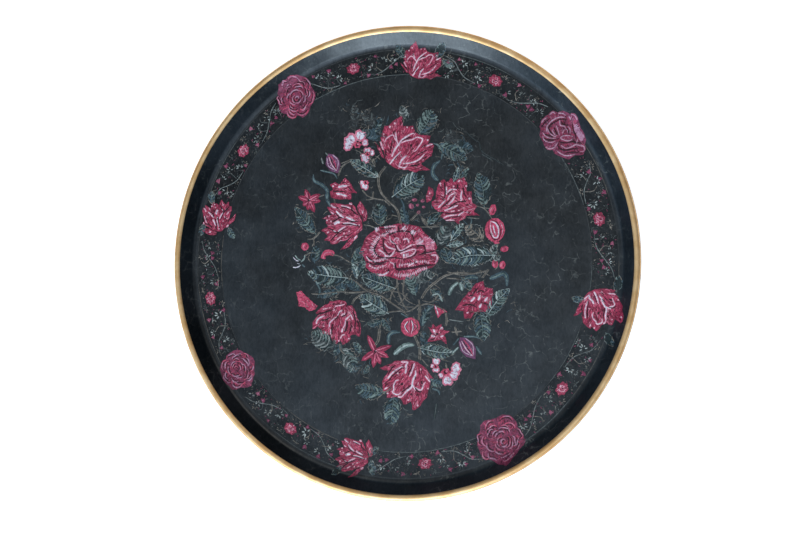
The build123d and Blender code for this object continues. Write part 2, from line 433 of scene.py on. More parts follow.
def smooth(points, step):
    """Points at about a step apart on a Catmull-Rom curve through the given ones."""
    ends = [points[0]] + list(points) + [points[-1]]
    line = [points[0]]
    for a, b, c, d in zip(ends, ends[1:], ends[2:], ends[3:]):
        count = max(1, round(math.dist(b, c) / step))
        for part in range(1, count + 1):
            t = part / count
            place = []
            for p, q, r, s in zip(a, b, c, d):
                bend = 2 * p - 5 * q + 4 * r - s
                twist = 3 * (q - r) + s - p
                place.append(q + 0.5 * t * (r - p + t * (bend + t * twist)))
            line.append(tuple(place))
    return line


def moved(points, at, turn=0.0, scale=1.0, squeeze=1.0):
    """Local points scaled (x by squeeze as well), turned by degrees and put at a place."""
    c, s = math.cos(math.radians(turn)) * scale, math.sin(math.radians(turn)) * scale
    return [
        (at[0] + c * squeeze * x - s * y, at[1] + s * squeeze * x + c * y) for x, y in points
    ]


def inside(point, outline):
    """Whether a point lies within a closed outline."""
    x, y = point
    within = False
    for (ax, ay), (bx, by) in zip(outline, outline[1:] + outline[:1]):
        if (ay > y) != (by > y) and x < ax + (y - ay) * (bx - ax) / (by - ay):
            within = not within
    return within


def ring_of(count, radius_x, radius_y, dent=0.0, phase=0.0):
    """A closed outline about the origin; a dent makes every other point shallower."""
    points = []
    for index in range(count):
        angle = phase + 2 * math.pi * index / count
        near = 1 - dent if index % 2 else 1.0
        points.append((near * radius_x * math.cos(angle), near * radius_y * math.sin(angle)))
    return points


# A stroke's section: (share of its half width, share of its height).
BEAD = ((-1, 0.02), (-0.55, 0.8), (0, 1), (0.55, 0.8), (1, 0.02))


class Paint:
    """Strokes and patches for one piece, in mm, kept until it is made."""

    def __init__(self, seed):
        self.verts = []
        self.faces = []
        self.pigments = []
        self.random = random.Random(seed)

    def _close(self, verts, faces, pigment):
        start = len(self.verts)
        self.verts.extend(verts)
        for corners in faces:
            self.faces.append([start + corner for corner in corners])
            self.pigments.append(pigment)

    def stroke(self, points, width, pigment, height=0.2, start=0.45, end=0.2, step=1.1):
        """A domed bead of paint along a smooth line; start and end narrow it at its two ends."""
        line = smooth(points, step)
        last = len(line) - 1
        verts = []
        for index, (x, y) in enumerate(line):
            before = line[max(0, index - 1)]
            after = line[min(last, index + 1)]
            length = math.dist(before, after) or 1.0
            side_x = (before[1] - after[1]) / length
            side_y = (after[0] - before[0]) / length
            along = index / last
            swell = min(1.0, start + 3.5 * along) * min(1.0, end + 2.6 * (1 - along))
            half = 0.5 * width * swell * self.random.uniform(0.86, 1.14)
            for offset, rise in BEAD:
                place = (x + side_x * half * offset, y + side_y * half * offset)
                verts.append(surface(*place, height * rise))
        sides = len(BEAD)
        faces = [list(range(sides))[::-1], [sides * last + corner for corner in range(sides)]]
        for index in range(last):
            for corner in range(sides):
                near = sides * index + corner
                other = sides * index + (corner + 1) % sides
                faces.append([near, other, other + sides, near + sides])
        self._close(verts, faces, pigment)

    def patch(self, outline, pigment, height=0.1, ragged=0.3, step=1.6, fill=0.0):
        """A flat patch with a hand-cut edge, as high as height over the face.

        step is how far apart its edge points are, and fill its inner ones, if it has any.
        """
        edge = []
        for a, b in zip(outline, outline[1:] + outline[:1]):
            count = max(1, round(math.dist(a, b) / step))
            for part in range(count):
                t = part / count
                wobble = 0.0 if part == 0 else ragged
                edge.append(Vector((
                    a[0] + t * (b[0] - a[0]) + self.random.uniform(-wobble, wobble),
                    a[1] + t * (b[1] - a[1]) + self.random.uniform(-wobble, wobble),
                )))
        count = len(edge)
        if fill:
            low_x, high_x = min(p.x for p in edge), max(p.x for p in edge)
            low_y, high_y = min(p.y for p in edge), max(p.y for p in edge)
            for row in range(int((high_y - low_y) / fill)):
                for column in range(int((high_x - low_x) / fill)):
                    place = (low_x + (column + 0.5) * fill, low_y + (row + 0.5) * fill)
                    if inside(place, outline):
                        edge.append(Vector(place))
        points, _, triangles, *_ = delaunay_2d_cdt(edge, [], [list(range(count))], 1, 1e-4)
        sides = dict.fromkeys(
            side for corners in triangles for side in zip(corners, corners[1:] + corners[:1])
        )
        used = sorted({corner for triangle in triangles for corner in triangle})
        order = {corner: index for index, corner in enumerate(used)}
        rim = [(a, b) for a, b in sides if (b, a) not in sides]
        verts = [surface(*points[corner], height) for corner in used]
        verts += [surface(*points[corner], 0.0) for corner in used]
        deep = len(used)
        faces = []
        for triangle in triangles:
            corners = [order[corner] for corner in triangle]
            faces.append(corners)
            faces.append([corner + deep for corner in reversed(corners)])
        for a, b in rim:
            faces.append([order[b], order[a], order[a] + deep, order[b] + deep])
        self._close(verts, faces, pigment)

    def dot(self, at, radius, pigment, height):
        """A round touch of the brush."""
        touch = ring_of(9, radius, radius, 0.0, self.random.uniform(0, 1))
        self.patch(moved(touch, at), pigment, height, 0.0, 9.0)

    def comb(self, curve, tick, count, pigment, width, height=0.24):
        """Short ticks across a curve, side by side."""
        line = smooth(curve, 0.5)
        for index in range(count):
            spot = (index + self.random.uniform(0.3, 0.7)) / count * (len(line) - 2)
            here, after = line[int(spot)], line[int(spot) + 1]
            length = math.dist(here, after) or 1.0
            side = ((here[1] - after[1]) / length, (after[0] - here[0]) / length)
            reach = 0.5 * tick * self.random.uniform(0.75, 1.2)
            lean = self.random.uniform(-0.35, 0.35)
            tip = (here[0] + side[0] * reach + lean, here[1] + side[1] * reach)
            tail = (here[0] - side[0] * reach, here[1] - side[1] * reach - lean)
            self.stroke([tail, tip], width, pigment, height, 0.5, 0.5, reach)

    def hatch(self, outline, aim, count, pigments, length=4.0, width=0.9, height=0.14):
        """Loose streaks inside an outline, running towards a point."""
        low_x, high_x = min(x for x, _ in outline), max(x for x, _ in outline)
        low_y, high_y = min(y for _, y in outline), max(y for _, y in outline)
        for _ in range(count):
            x, y = self.random.uniform(low_x, high_x), self.random.uniform(low_y, high_y)
            heading = math.atan2(aim[1] - y, aim[0] - x) + self.random.uniform(-0.3, 0.3)
            reach = length * self.random.uniform(0.5, 1.2)
            tip = (x + reach * math.cos(heading), y + reach * math.sin(heading))
            if inside((x, y), outline) and inside(tip, outline):
                middle = ((x + tip[0]) / 2 + self.random.uniform(-0.4, 0.4), (y + tip[1]) / 2)
                pigment = self.random.choice(pigments)
                thick = width * self.random.uniform(0.6, 1.2)
                self.stroke([(x, y), middle, tip], thick, pigment, height, 0.5, 0.3, 1.6)

    def piece(self, name, slot, node):
        """One mesh of all the paint, standing for a painted CAD node."""
        mesh = bpy.data.meshes.new(name)
        mesh.from_pydata([(x * MM, y * MM, z * MM) for x, y, z in self.verts], [], self.faces)
        used = sorted(set(self.pigments))
        for pigment in used:
            mesh.materials.append(OILS[pigment])
        mesh.polygons.foreach_set("material_index", [used.index(p) for p in self.pigments])
        mesh.shade_smooth()
        mesh.set_sharp_from_angle(angle=math.radians(40))
        made = add_object(name, mesh)
        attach(made, "root")
        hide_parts(node)


# ---- the bouquet's flowers, in mm about each flower's own place (+Y up) ------------------------
# heart: the point that a flower's streaks run towards. outlines: closed patches, its body first.
# pale: petals turned over, as closed patches. lights, pinks, darks: strokes, as (width, points).
# combs: rows of ticks across a curve, as (tick length, how many, curve). dots: (x, y, radius).
TOP_TULIP = {
    "at": (4, 112), "heart": (-6, -24),
    "outlines": [
        [(-18, -16), (-19, -14), (-24, 8), (-20, 19), (-16, 19), (-11, 24), (-3, 28), (-2, 18),
         (3, 18), (8, 18), (10, 12), (13, 10), (16, 9), (25, 8), (23, 2), (21, -1), (28, -1),
         (26, -11), (20, -15), (15, -19), (25, -25), (14, -25), (9, -27), (3, -24), (-8, -23),
         (-13, -20)], [(-30, 4), (-26, 0), (-23, -5), (-20, -13), (-23, -11), (-26, -4)],
    ],
    "lights": [
        (2.0, [(-13, -11), (-10, -4), (-6, 1), (-3, 5), (5, 10), (9, 11)]),
        (1.2, [(-6, 0), (-8, 4), (-9, 10), (-9, 13)]),
        (1.0, [(-20, 3), (-18, 7), (-13, 10), (-11, 9), (-9, 4)]),
        (1.8, [(-15, -18), (-10, -12), (-4, -6)]), (2.2, [(-6, -20), (-3, -14), (2, -10)]),
        (1.5, [(-2, -18), (7, -17), (14, -14), (19, -9)]),
        (1.2, [(-4, 2), (1, 4), (7, 5), (11, 7), (16, 6), (17, 4), (14, -1), (10, -6), (8, -6)]),
        (1.2, [(20, -2), (23, -1), (27, 0)]), (1.0, [(-24, 4), (-22, -2), (-21, -4)]),
        (1.2, [(-7, -20), (-1, -22), (3, -19)]),
    ],
    "darks": [
        (1.1, [(-3, 4), (1, 6), (6, 7)]), (1.1, [(-11, -14), (-5, -7)]),
        (1.1, [(5, -20), (11, -20), (15, -18)]), (1.0, [(-19, -3), (-19, -11)]),
        (0.9, [(-10, 15), (-10, 10)]), (0.9, [(-2, 12), (-2, 10)]), (2.2, [(5, -1), (7, 0)]),
        (1.0, [(-15, -7), (-13, 2), (-12, 5)]), (1.0, [(10, -11), (16, -8), (23, -5)]),
    ],
    "dots": [(-15, 18, 1), (-10, 21, 1), (-21, 11, 0.8), (2, 17, 0.8), (22, 4, 1), (7, 16, 0.8)],
}
UPPER_RIGHT_TULIP = {
    "at": (50, 57), "heart": (20, -8),
    "outlines": [
        [(24, -5), (18, -2), (18, 3), (18, 9), (12, 9), (13, 11), (14, 16), (11, 23), (8, 22),
         (4, 20), (2, 18), (-1, 22), (-6, 18), (-8, 21), (-11, 20), (-14, 16), (-16, 9), (-16, 3),
         (-20, 0), (-20, -4), (-17, -7), (-14, -10), (-8, -10), (-12, -14), (-8, -17), (-3, -19),
         (2, -19), (7, -23), (6, -18), (10, -18), (13, -14), (17, -14), (26, -14), (19, -10)],
        [(-23, 15), (-19, 12), (-18, 8), (-21, 1), (-25, -1), (-26, 5), (-24, 10)],
    ],
    "lights": [
        (1.5, [(-6, 14), (-6, 10), (-6, 6)]), (1.5, [(-5, 8), (-2, 11), (4, 11)]),
        (1.2, [(-5, 1), (-3, 5), (2, 8)]), (1.7, [(-14, -6), (-10, -2), (-7, 1)]),
        (1.8, [(-4, -3), (0, 1), (2, 5)]), (1.9, [(8, 0), (8, 5), (9, 10)]),
        (1.8, [(-8, -9), (-3, -7), (5, -4)]), (1.2, [(-14, 0), (-14, 1)]),
        (1.3, [(-9, -16), (-5, -14), (4, -13)]), (1.4, [(5, -14), (8, -12), (11, -10)]),
        (1.2, [(5, 18), (7, 20)]), (1.2, [(-22, 7), (-22, 9)]),
    ],
    "pinks": [
        (1.3, [(-2, -10), (2, -9)]), (1.2, [(5, -9), (7, -9)]), (1.2, [(-7, -18), (2, -18)]),
    ],
    "darks": [
        (1.5, [(-8, 18), (-7, 9), (-8, 3)]), (1.0, [(-5, 7), (0, 10)]),
        (1.0, [(-12, -7), (-7, -3), (-3, 1), (2, 6)]), (1.1, [(-5, -8), (1, -3), (5, -1)]),
        (1.1, [(4, -1), (14, 0)]), (1.0, [(-7, -12), (6, -11), (10, -9)]),
        (1.0, [(-3, -15), (5, -15), (8, -14)]), (1.2, [(5, 16), (4, 11)]),
        (1.2, [(10, 13), (11, 5)]),
    ],
    "dots": [(-12, 17, 1), (1, 14, 0.8), (13, 14, 1), (16, 2, 1), (14, -11, 0.9)],
}
UPPER_LEFT_TULIP = {
    "at": (-56, 37), "heart": (22, -1),
    "outlines": [
        [(18, 1), (16, 8), (12, 13), (9, 18), (6, 21), (5, 19), (0, 19), (-5, 20), (-10, 21),
         (-14, 20), (-12, 17), (-17, 17), (-14, 12), (-12, 9), (-16, 9), (-22, 6), (-18, 5),
         (-18, 1), (-16, -2), (-20, -4), (-23, -6), (-19, -8), (-16, -11), (-20, -15), (-14, -16),
         (-13, -19), (-8, -19), (-4, -17), (1, -16), (4, -14), (9, -11), (14, -9), (18, -5)],
        [(13, 17), (16, 22), (19, 18), (22, 13), (23, 8), (22, 3), (19, 2), (17, 8), (14, 12)],
        [(14, -10), (12, -13), (9, -17), (5, -22), (0, -24), (-4, -25), (1, -20), (4, -16),
         (8, -12), (12, -10)],
    ],
    "lights": [
        (2.2, [(-8, 13), (-4, 9), (0, 6)]), (2.4, [(2, 7), (6, 5), (11, 3)]),
        (4.0, [(-10, 0), (-7, 2), (-4, 2)]), (1.4, [(-1, 1), (5, 1), (13, -1)]),
        (1.8, [(-6, -7), (-2, -4), (2, -2)]), (1.2, [(-3, 18), (2, 17), (7, 15)]),
        (1.6, [(-13, 19), (-11, 17), (-8, 16)]), (1.4, [(-13, 12), (-10, 10)]),
        (1.3, [(5, 20), (8, 19)]), (1.3, [(10, -14), (13, -11)]), (1.2, [(-11, -6), (-8, -7)]),
        (1.6, [(18, 10), (19, 13)]),
    ],
    "pinks": [(2.2, [(-17, -8), (-15, -7)]), (1.6, [(-7, -15), (-3, -12)])],
    "darks": [
        (1.2, [(-8, 11), (-5, 7), (0, 6)]), (1.1, [(-12, 2), (-5, 6), (-2, 7)]),
        (1.1, [(0, 5), (5, 3), (15, 2)]), (1.1, [(-2, 0), (4, 0), (16, -2)]),
        (1.2, [(-16, -4), (-12, -5), (-8, -8), (-2, -6), (4, -3)]),
        (1.2, [(-13, -16), (-10, -12), (-5, -8)]), (1.0, [(-3, 17), (2, 16), (5, 14)]),
        (1.1, [(7, 17), (9, 12), (15, 8)]),
    ],
    "dots": [
        (-13, 3, 0.8), (-15, 8, 1), (-17, 4, 0.8), (0, -9, 0.9), (5, -7, 0.8), (15, -1, 0.8),
        (2, -12, 0.8),
    ],
}
LOWER_LEFT_TULIP = {
    "at": (-63, -57), "heart": (6, 24),
    "outlines": [
        [(-7, 20), (-2, 20), (2, 21), (8, 20), (10, 17), (9, 15), (14, 16), (17, 13), (19, 9),
         (20, 4), (23, -1), (24, -6), (23, -14), (21, -14), (19, -12), (16, -12), (13, -14),
         (14, -16), (12, -19), (6, -22), (4, -18), (2, -19), (0, -21), (-2, -21), (-5, -17),
         (-6, -13), (-10, -12), (-15, -11), (-15, -7), (-19, -4), (-21, -6), (-24, -7), (-24, -1),
         (-21, 4), (-19, 6), (-21, 9), (-16, 14), (-11, 17), (-8, 17)],
    ],
    "lights": [
        (1.8, [(-20, -2), (-20, 1), (-17, 4), (-12, 6)]),
        (1.6, [(-7, -5), (-7, -1), (-3, 3), (0, 5)]), (1.4, [(1, 6), (3, 10), (6, 11)]),
        (2.0, [(5, -10), (6, -6)]), (1.4, [(6, -6), (8, -3), (9, 2), (12, 5), (14, 7)]),
        (1.2, [(14, 7), (16, 2)]), (0.9, [(-2, 15), (4, 16), (8, 17)]),
        (1.2, [(2, -19), (2, -17)]),
    ],
    "pinks": [
        (1.8, [(4, 6), (8, 8)]), (1.6, [(4, -16), (5, -13), (8, -12)]),
        (1.4, [(-4, 11), (-2, 12)]), (1.6, [(-14, -4), (-12, -4)]), (1.4, [(-6, -7), (-6, -12)]),
        (1.0, [(-14, 12), (-6, 14)]),
    ],
    "darks": [
        (1.4, [(-20, 7), (-13, 9), (-7, 11), (-4, 12)]), (1.1, [(-16, 2), (-11, 2), (-6, 5)]),
        (1.1, [(-2, 2), (0, 4), (2, 7), (4, 11)]), (1.6, [(-4, -2), (-5, -6), (-5, -12)]),
        (1.2, [(5, 5), (9, 7), (10, 10)]), (1.8, [(10, 1), (10, -4), (8, -10)]),
        (1.2, [(14, 2), (14, -6), (12, -12)]), (1.2, [(16, 11), (18, 3), (18, -6), (18, -10)]),
        (1.0, [(20, 1), (22, -4), (22, -12)]), (0.9, [(-2, 17), (1, 17), (5, 17)]),
    ],
    "dots": [(-11, -10, 0.8), (-1, -18, 0.8), (12, -16, 0.8)],
}
BOTTOM_TULIP = {
    "at": (5, -116), "heart": (12, 24),
    "outlines": [
        [(7, 22), (4, 23), (-1, 23), (-5, 22), (-10, 22), (-16, 19), (-21, 17), (-26, 15),
         (-21, 13), (-16, 13), (-20, 8), (-23, 3), (-23, -3), (-22, -7), (-19, -6), (-19, -13),
         (-14, -13), (-10, -12), (-7, -13), (-5, -14), (-3, -19), (0, -19), (5, -16), (6, -24),
         (9, -24), (14, -20), (16, -16), (20, -12), (21, -7), (23, -1), (23, 2), (22, 6), (27, 5),
         (23, 9), (19, 15), (15, 18), (11, 21)],
    ],
    "lights": [
        (1.8, [(-18, 5), (-14, 10), (-9, 14), (-3, 17)]),
        (2.4, [(-1, 10), (0, 14), (0, 18), (2, 21)]), (1.2, [(-5, 21), (2, 21)]),
        (1.9, [(8, 20), (7, 16), (5, 11), (3, 7)]),
        (2.4, [(9, 13), (9, 9), (7, 5), (6, 1), (5, -3), (0, -7), (-4, -12)]),
        (1.3, [(6, 0), (8, -4), (9, -6)]), (1.5, [(9, -3), (12, -5), (15, -5), (16, -2), (18, 2)]),
        (1.4, [(18, 8), (21, 5), (23, 2)]),
        (1.5, [(-7, 4), (-10, 3), (-12, -1), (-12, -5), (-13, -8), (-8, -10), (-5, -7)]),
    ],
    "pinks": [
        (1.6, [(14, 15), (14, 13)]), (2.0, [(-8, -12), (-4, -12)]), (1.4, [(-21, -5), (-18, -3)]),
    ],
    "darks": [
        (1.1, [(-17, 3), (-13, 8), (-7, 13), (-2, 18)]), (1.0, [(-10, 18), (-14, 15), (-18, 8)]),
        (1.2, [(6, 19), (5, 15), (2, 9)]), (1.1, [(5, -1), (-1, -5), (-5, -8)]),
        (1.8, [(14, 3), (16, 0)]), (1.2, [(8, -3), (12, -7), (16, -6)]), (1.1, [(9, 4), (9, 9)]),
        (2.0, [(-5, -1), (-3, 1)]), (1.8, [(4, -10), (6, -9)]), (1.8, [(10, -11), (11, -9)]),
    ],
    "dots": [(2, -15, 0.9), (11, -20, 0.9), (21, -4, 0.8), (-18, -9, 0.9), (-8, 10, 0.8)],
}
CENTRE_ROSE = {
    "at": (-2, 10), "heart": (3, 2),
    "outlines": [
        [(-39, -1), (-36, 5), (-33, 13), (-28, 18), (-23, 21), (-19, 24), (-12, 24), (-4, 26),
         (4, 27), (12, 25), (21, 23), (23, 19), (29, 14), (35, 8), (37, 3), (35, 0), (38, -5),
         (36, -12), (32, -16), (24, -17), (20, -22), (10, -27), (-1, -27), (-9, -24), (-15, -23),
         (-21, -23), (-28, -19), (-33, -14), (-33, -9), (-35, -4)],
    ],
    "pale": [
        [(21, 16), (29, 13), (35, 8), (34, 2), (26, 0), (25, 4), (26, 8), (23, 12)],
        [(16, 11), (20, 12), (24, 9), (24, 6), (16, 6)],
    ],
    "lights": [
        (1.0, [(-5, 10), (-3, 13), (0, 12), (-2, 10)]), (1.6, [(4, 11), (8, 12), (10, 8)]),
        (1.2, [(-2, 6), (0, 2), (3, 1), (12, 6), (16, 6)]), (1.4, [(-14, 8), (-10, 4), (-3, 2)]),
        (1.0, [(-9, 15), (-8, 10), (-3, 7)]), (1.8, [(-14, -4), (-8, -4), (-4, 1)]),
        (1.2, [(1, -2), (7, 0), (15, 2), (16, 0), (12, -4), (4, -6)]),
        (1.2, [(-20, 2), (-15, -1), (-13, -4)]), (1.2, [(-32, -4), (-29, -8), (-25, -9)]),
        (1.2, [(31, -4), (36, -4), (37, -7), (35, -12)]),
        (2.0, [(-20, -22), (-15, -22), (-10, -19)]), (1.2, [(-9, -10), (-5, -12), (-5, -16)]),
        (1.2, [(9, -14), (15, -11)]),
    ],
    "darks": [
        (1.4, [(-19, 12), (-23, 5), (-24, 1), (-21, -4), (-14, -6), (-4, -6), (7, -8)]),
        (1.3, [(-15, 12), (-15, 4), (-12, -1), (-8, -4)]),
        (1.3, [(-10, 16), (-1, 19), (9, 19), (13, 15), (15, 8)]),
        (1.3, [(-9, 11), (-4, 7), (-1, 0), (5, 1), (15, 5)]),
        (1.5, [(-32, -4), (-26, -9), (-20, -11), (-10, -9)]),
        (1.2, [(-32, -9), (-25, -12), (-16, -12)]),
        (2.2, [(-4, -11), (-3, -16), (1, -17), (12, -16), (23, -14), (35, -13)]),
        (1.2, [(-10, -16), (-11, -20)]), (1.3, [(16, 5), (24, 5), (25, -1), (18, -4)]),
        (1.2, [(24, -2), (31, -1), (35, 0)]), (1.2, [(17, 0), (15, -4), (7, -7)]),
        (1.5, [(-1, 24), (0, 19)]), (1.1, [(-16, 17), (-9, 19)]),
        (1.1, [(-18, 22), (-13, 22), (-4, 23)]),
    ],
    "combs": [
        (4.0, 12, [(-20, 14), (-25, 7), (-27, 2), (-25, -2), (-21, -5)]),
        (2.5, 8, [(-24, -9), (-18, -8), (-12, -6)]),
        (2.0, 8, [(-29, -13), (-22, -16), (-14, -13)]),
        (3.0, 14, [(-4, -22), (4, -23), (12, -22), (21, -18), (28, -16)]),
        (2.0, 9, [(16, -10), (21, -10), (26, -10), (30, -12)]),
        (2.0, 7, [(0, -13), (3, -13), (10, -12), (15, -11)]), (4.0, 4, [(-23, 21), (-19, 22)]),
        (2.0, 7, [(-14, 23), (-9, 24), (-3, 24)]),
        (3.0, 10, [(-19, 15), (-14, 16), (-10, 19), (-2, 20)]), (4.0, 3, [(4, 23), (7, 20)]),
        (3.5, 5, [(12, 19), (16, 17)]), (2.5, 6, [(4, -4), (10, -3)]),
    ],
    "dots": [],
}
BORDER_ROSE = {
    "heart": (2, 2),
    "outlines": [
        [(-8, 23), (-13, 20), (-19, 16), (-22, 9), (-21, 5), (-22, 0), (-19, -6), (-17, -11),
         (-10, -14), (-8, -18), (0, -22), (5, -24), (12, -20), (19, -20), (21, -16), (21, -10),
         (22, -5), (20, 1), (17, 6), (15, 13), (10, 17), (6, 20), (0, 23), (-4, 21)],
    ],
    "pale": [[(10, 11), (13, 9), (17, 3), (20, -1), (21, -5), (17, -7), (14, -2), (11, 3)]],
    "lights": [
        (1.4, [(-15, 3), (-15, 8), (-12, 12), (-8, 15), (-2, 17), (3, 16)]),
        (1.1, [(-15, 8), (-13, 3), (-10, 0), (-6, -2)]), (1.0, [(-10, 5), (-8, 1), (-5, -1)]),
        (0.9, [(-6, 9), (-4, 3), (-3, -1)]), (1.1, [(-3, 14), (-2, 9), (2, 8), (3, 5)]),
        (1.0, [(5, 8), (7, 5), (7, 1)]), (0.9, [(0, 1), (1, 4), (4, 5), (5, 1)]),
        (1.1, [(10, -4), (6, -6), (1, -5), (-2, -3), (1, -1), (6, -1), (10, -2)]),
        (1.2, [(-19, -1), (-17, -5), (-12, -7), (-7, -6)]),
        (1.0, [(-19, 3), (-16, -1), (-11, -3), (-6, -3)]),
        (1.1, [(-16, -11), (-13, -13), (-8, -12), (-6, -9), (-4, -7)]),
        (1.1, [(-2, -10), (3, -13), (8, -12), (12, -10), (17, -11), (20, -12), (20, -16),
         (16, -17)]), (1.2, [(-6, -15), (-2, -18), (2, -20), (7, -20), (12, -19)]),
        (1.6, [(-4, 21), (1, 20), (3, 18)]), (1.8, [(6, 18), (8, 14)]),
        (1.0, [(-13, 19), (-9, 22), (-7, 20)]), (1.0, [(14, 13), (12, 17), (8, 19)]),
        (1.0, [(-20, 12), (-18, 15), (-14, 17)]), (1.0, [(14, -5), (13, -9)]),
    ],
    "darks": [
        (1.4, [(-13, 4), (-13, 8), (-10, 11), (-6, 13), (-2, 15), (3, 14)]),
        (1.2, [(-13, 6), (-11, 2), (-8, -1)]), (1.2, [(-8, 7), (-6, 2), (-4, 0)]),
        (1.2, [(-1, 13), (0, 10), (4, 9)]), (1.2, [(4, 6), (5, 4), (6, 0)]),
        (1.5, [(-3, -7), (3, -8), (9, -7), (13, -8), (18, -9)]),
        (1.3, [(-18, -3), (-13, -5), (-8, -5)]),
        (1.5, [(-5, -10), (-3, -13), (2, -15), (9, -14), (15, -14)]),
        (1.3, [(2, -18), (10, -17), (15, -18)]), (1.3, [(9, 12), (10, 5), (12, -1), (13, -6)]),
        (1.2, [(-18, 1), (-14, 0), (-9, -2)]), (1.2, [(-20, 8), (-17, 12), (-12, 16)]),
        (1.0, [(1, 2), (3, 3)]),
    ],
    "dots": [],
}
RIGHT_FLOWER = {
    "at": (71, -36), "heart": (0, -2),
    "outlines": [
        [(8, 17), (9, 11), (17, 10), (17, 0), (15, -7), (11, -12), (0, -12), (-4, -18), (-10, -18),
         (-11, -11), (-19, -10), (-12, 0), (-4, 9), (1, 15)],
    ],
    "lights": [
        (2.6, [(-4, -2), (0, 2)]), (2.8, [(3, -1), (5, 4)]), (2.6, [(9, -2), (12, 2)]),
        (2.4, [(4, -8), (6, -4)]), (1.8, [(-11, -2), (-10, -1)]), (1.6, [(-8, -13), (-6, -12)]),
    ],
    "darks": [
        (1.1, [(-12, -6), (-4, -5), (2, -8)]), (1.0, [(1, 6), (6, 8), (9, 6)]),
        (1.0, [(8, -4), (13, -5)]), (1.1, [(-2, 5), (3, 11)]), (1.0, [(-6, 3), (-1, 4)]),
    ],
    "dots": [],
}
PINK_FLOWER = {
    "at": (-58, 72), "heart": (0, 0),
    "outlines": [
        [(-12, 4), (-7, 6), (-3, 3), (3, 10), (8, 5), (11, -1), (15, -5), (9, -5), (9, -11),
         (-3, -11), (-11, -9), (-12, -3), (-9, -1)],
    ],
    "lights": [(3.2, [(-4, 1), (1, 2), (5, 2)]), (2.6, [(-6, -5), (-1, -6), (5, -8)])],
    "darks": [
        (1.0, [(-9, -3), (-3, -3), (5, -4)]), (1.0, [(0, 6), (4, 5)]), (0.9, [(6, 1), (10, -3)]),
    ],
    "dots": [(-9, 2, 0.9)],
}
LOW_FLOWER = {
    "at": (35, -68), "heart": (0, -1),
    "outlines": [
        [(-9, 6), (-6, 5), (-4, 9), (-1, 6), (4, 9), (5, 3), (12, 2), (7, -1), (9, -10), (3, -6),
         (-1, -7), (-10, -8), (-7, -3), (-5, 0)],
    ],
    "lights": [
        (2.2, [(-4, 4), (-2, 1)]), (2.2, [(3, 4), (5, 6)]), (2.0, [(3, -3), (6, -2)]),
        (2.4, [(-6, -2), (-2, -3)]),
    ],
    "darks": [(2.6, [(-1, -1), (1, 0)]), (0.9, [(-7, -6), (-2, -5)])],
    "dots": [(2, 1, 0.6)],
}
SPECKLED = [RIGHT_FLOWER, PINK_FLOWER, LOW_FLOWER]
TULIPS = {
    "top_tulip": TOP_TULIP, "upper_right_tulip": UPPER_RIGHT_TULIP,
    "upper_left_tulip": UPPER_LEFT_TULIP, "lower_left_tulip": LOWER_LEFT_TULIP,
    "bottom_tulip": BOTTOM_TULIP,
}
# Five- and six-petalled stars: (place, [petal tips about it]).
STARS = [
    ((-91, 61), [(-4, 10.8), (11.3, 5.5), (11.7, -1), (5.7, -12), (-1, -10), (-6.4, -5.4),
     (-11.2, 3.5)]),
    ((-25, -85), [(-7.6, 15.5), (16, 5.4), (13.3, -5.6), (5.2, -12.5), (-2, -15.8), (-14, -9.3)]),
]
# White blossoms round a crimson heart: (place, heart, [(x, y, radius) of each white lobe]).
BLOSSOMS = [
    ((-45, 117), (2, -3.5, 4.4), [(-4.5, 1.6, 4.2), (4.7, 5.0, 4.0), (9.4, -1.6, 2.4),
     (-6.8, -4.2, 3.4)]),
    ((-32, 104), (-0.6, 0.4, 3.0), [(-1, 3, 2.6), (-2.4, -4, 3.0), (3, 1.4, 2.0),
     (-5.2, -1.6, 1.8)]),
    ((46, -105), (-3, 0.6, 5.0), [(6.4, 4.6, 3.6), (4.6, -1.6, 3.6), (-1.4, -7, 3.6),
     (-7.4, -2.4, 1.8)]),
    ((34, -99), (-0.4, -0.2, 3.0), [(-0.2, 4.2, 2.6), (-0.4, -2.4, 2.4), (-3.6, 0.2, 1.4)]),
    ((-35, 75), (0.6, 1.6, 3.2), [(-0.4, -1.4, 2.6), (-3.2, 1.6, 1.6)]),
]
# Small buds and berries: (x, y, width, height, lean in degrees, pigment).
BUDS = [
    (88, 48, 7, 11, -15, "crimson"), (99, 11, 8, 6, 10, "crimson"), (90, -3, 6, 8, 10, "crimson"),
    (97, -4, 6, 8, -10, "crimson"), (-95, 16, 8, 8, 0, "crimson"),
    (13, 59, 5.4, 3.4, 0, "magenta"), (21, 58, 4.4, 3.2, 20, "magenta"),
    (10, 53, 5, 6, 30, "magenta"), (16, 54, 3.4, 2.8, 0, "magenta"),
    (22, 52, 3.4, 2.6, -20, "magenta"), (17, 47, 4.2, 3.2, 40, "magenta"),
]


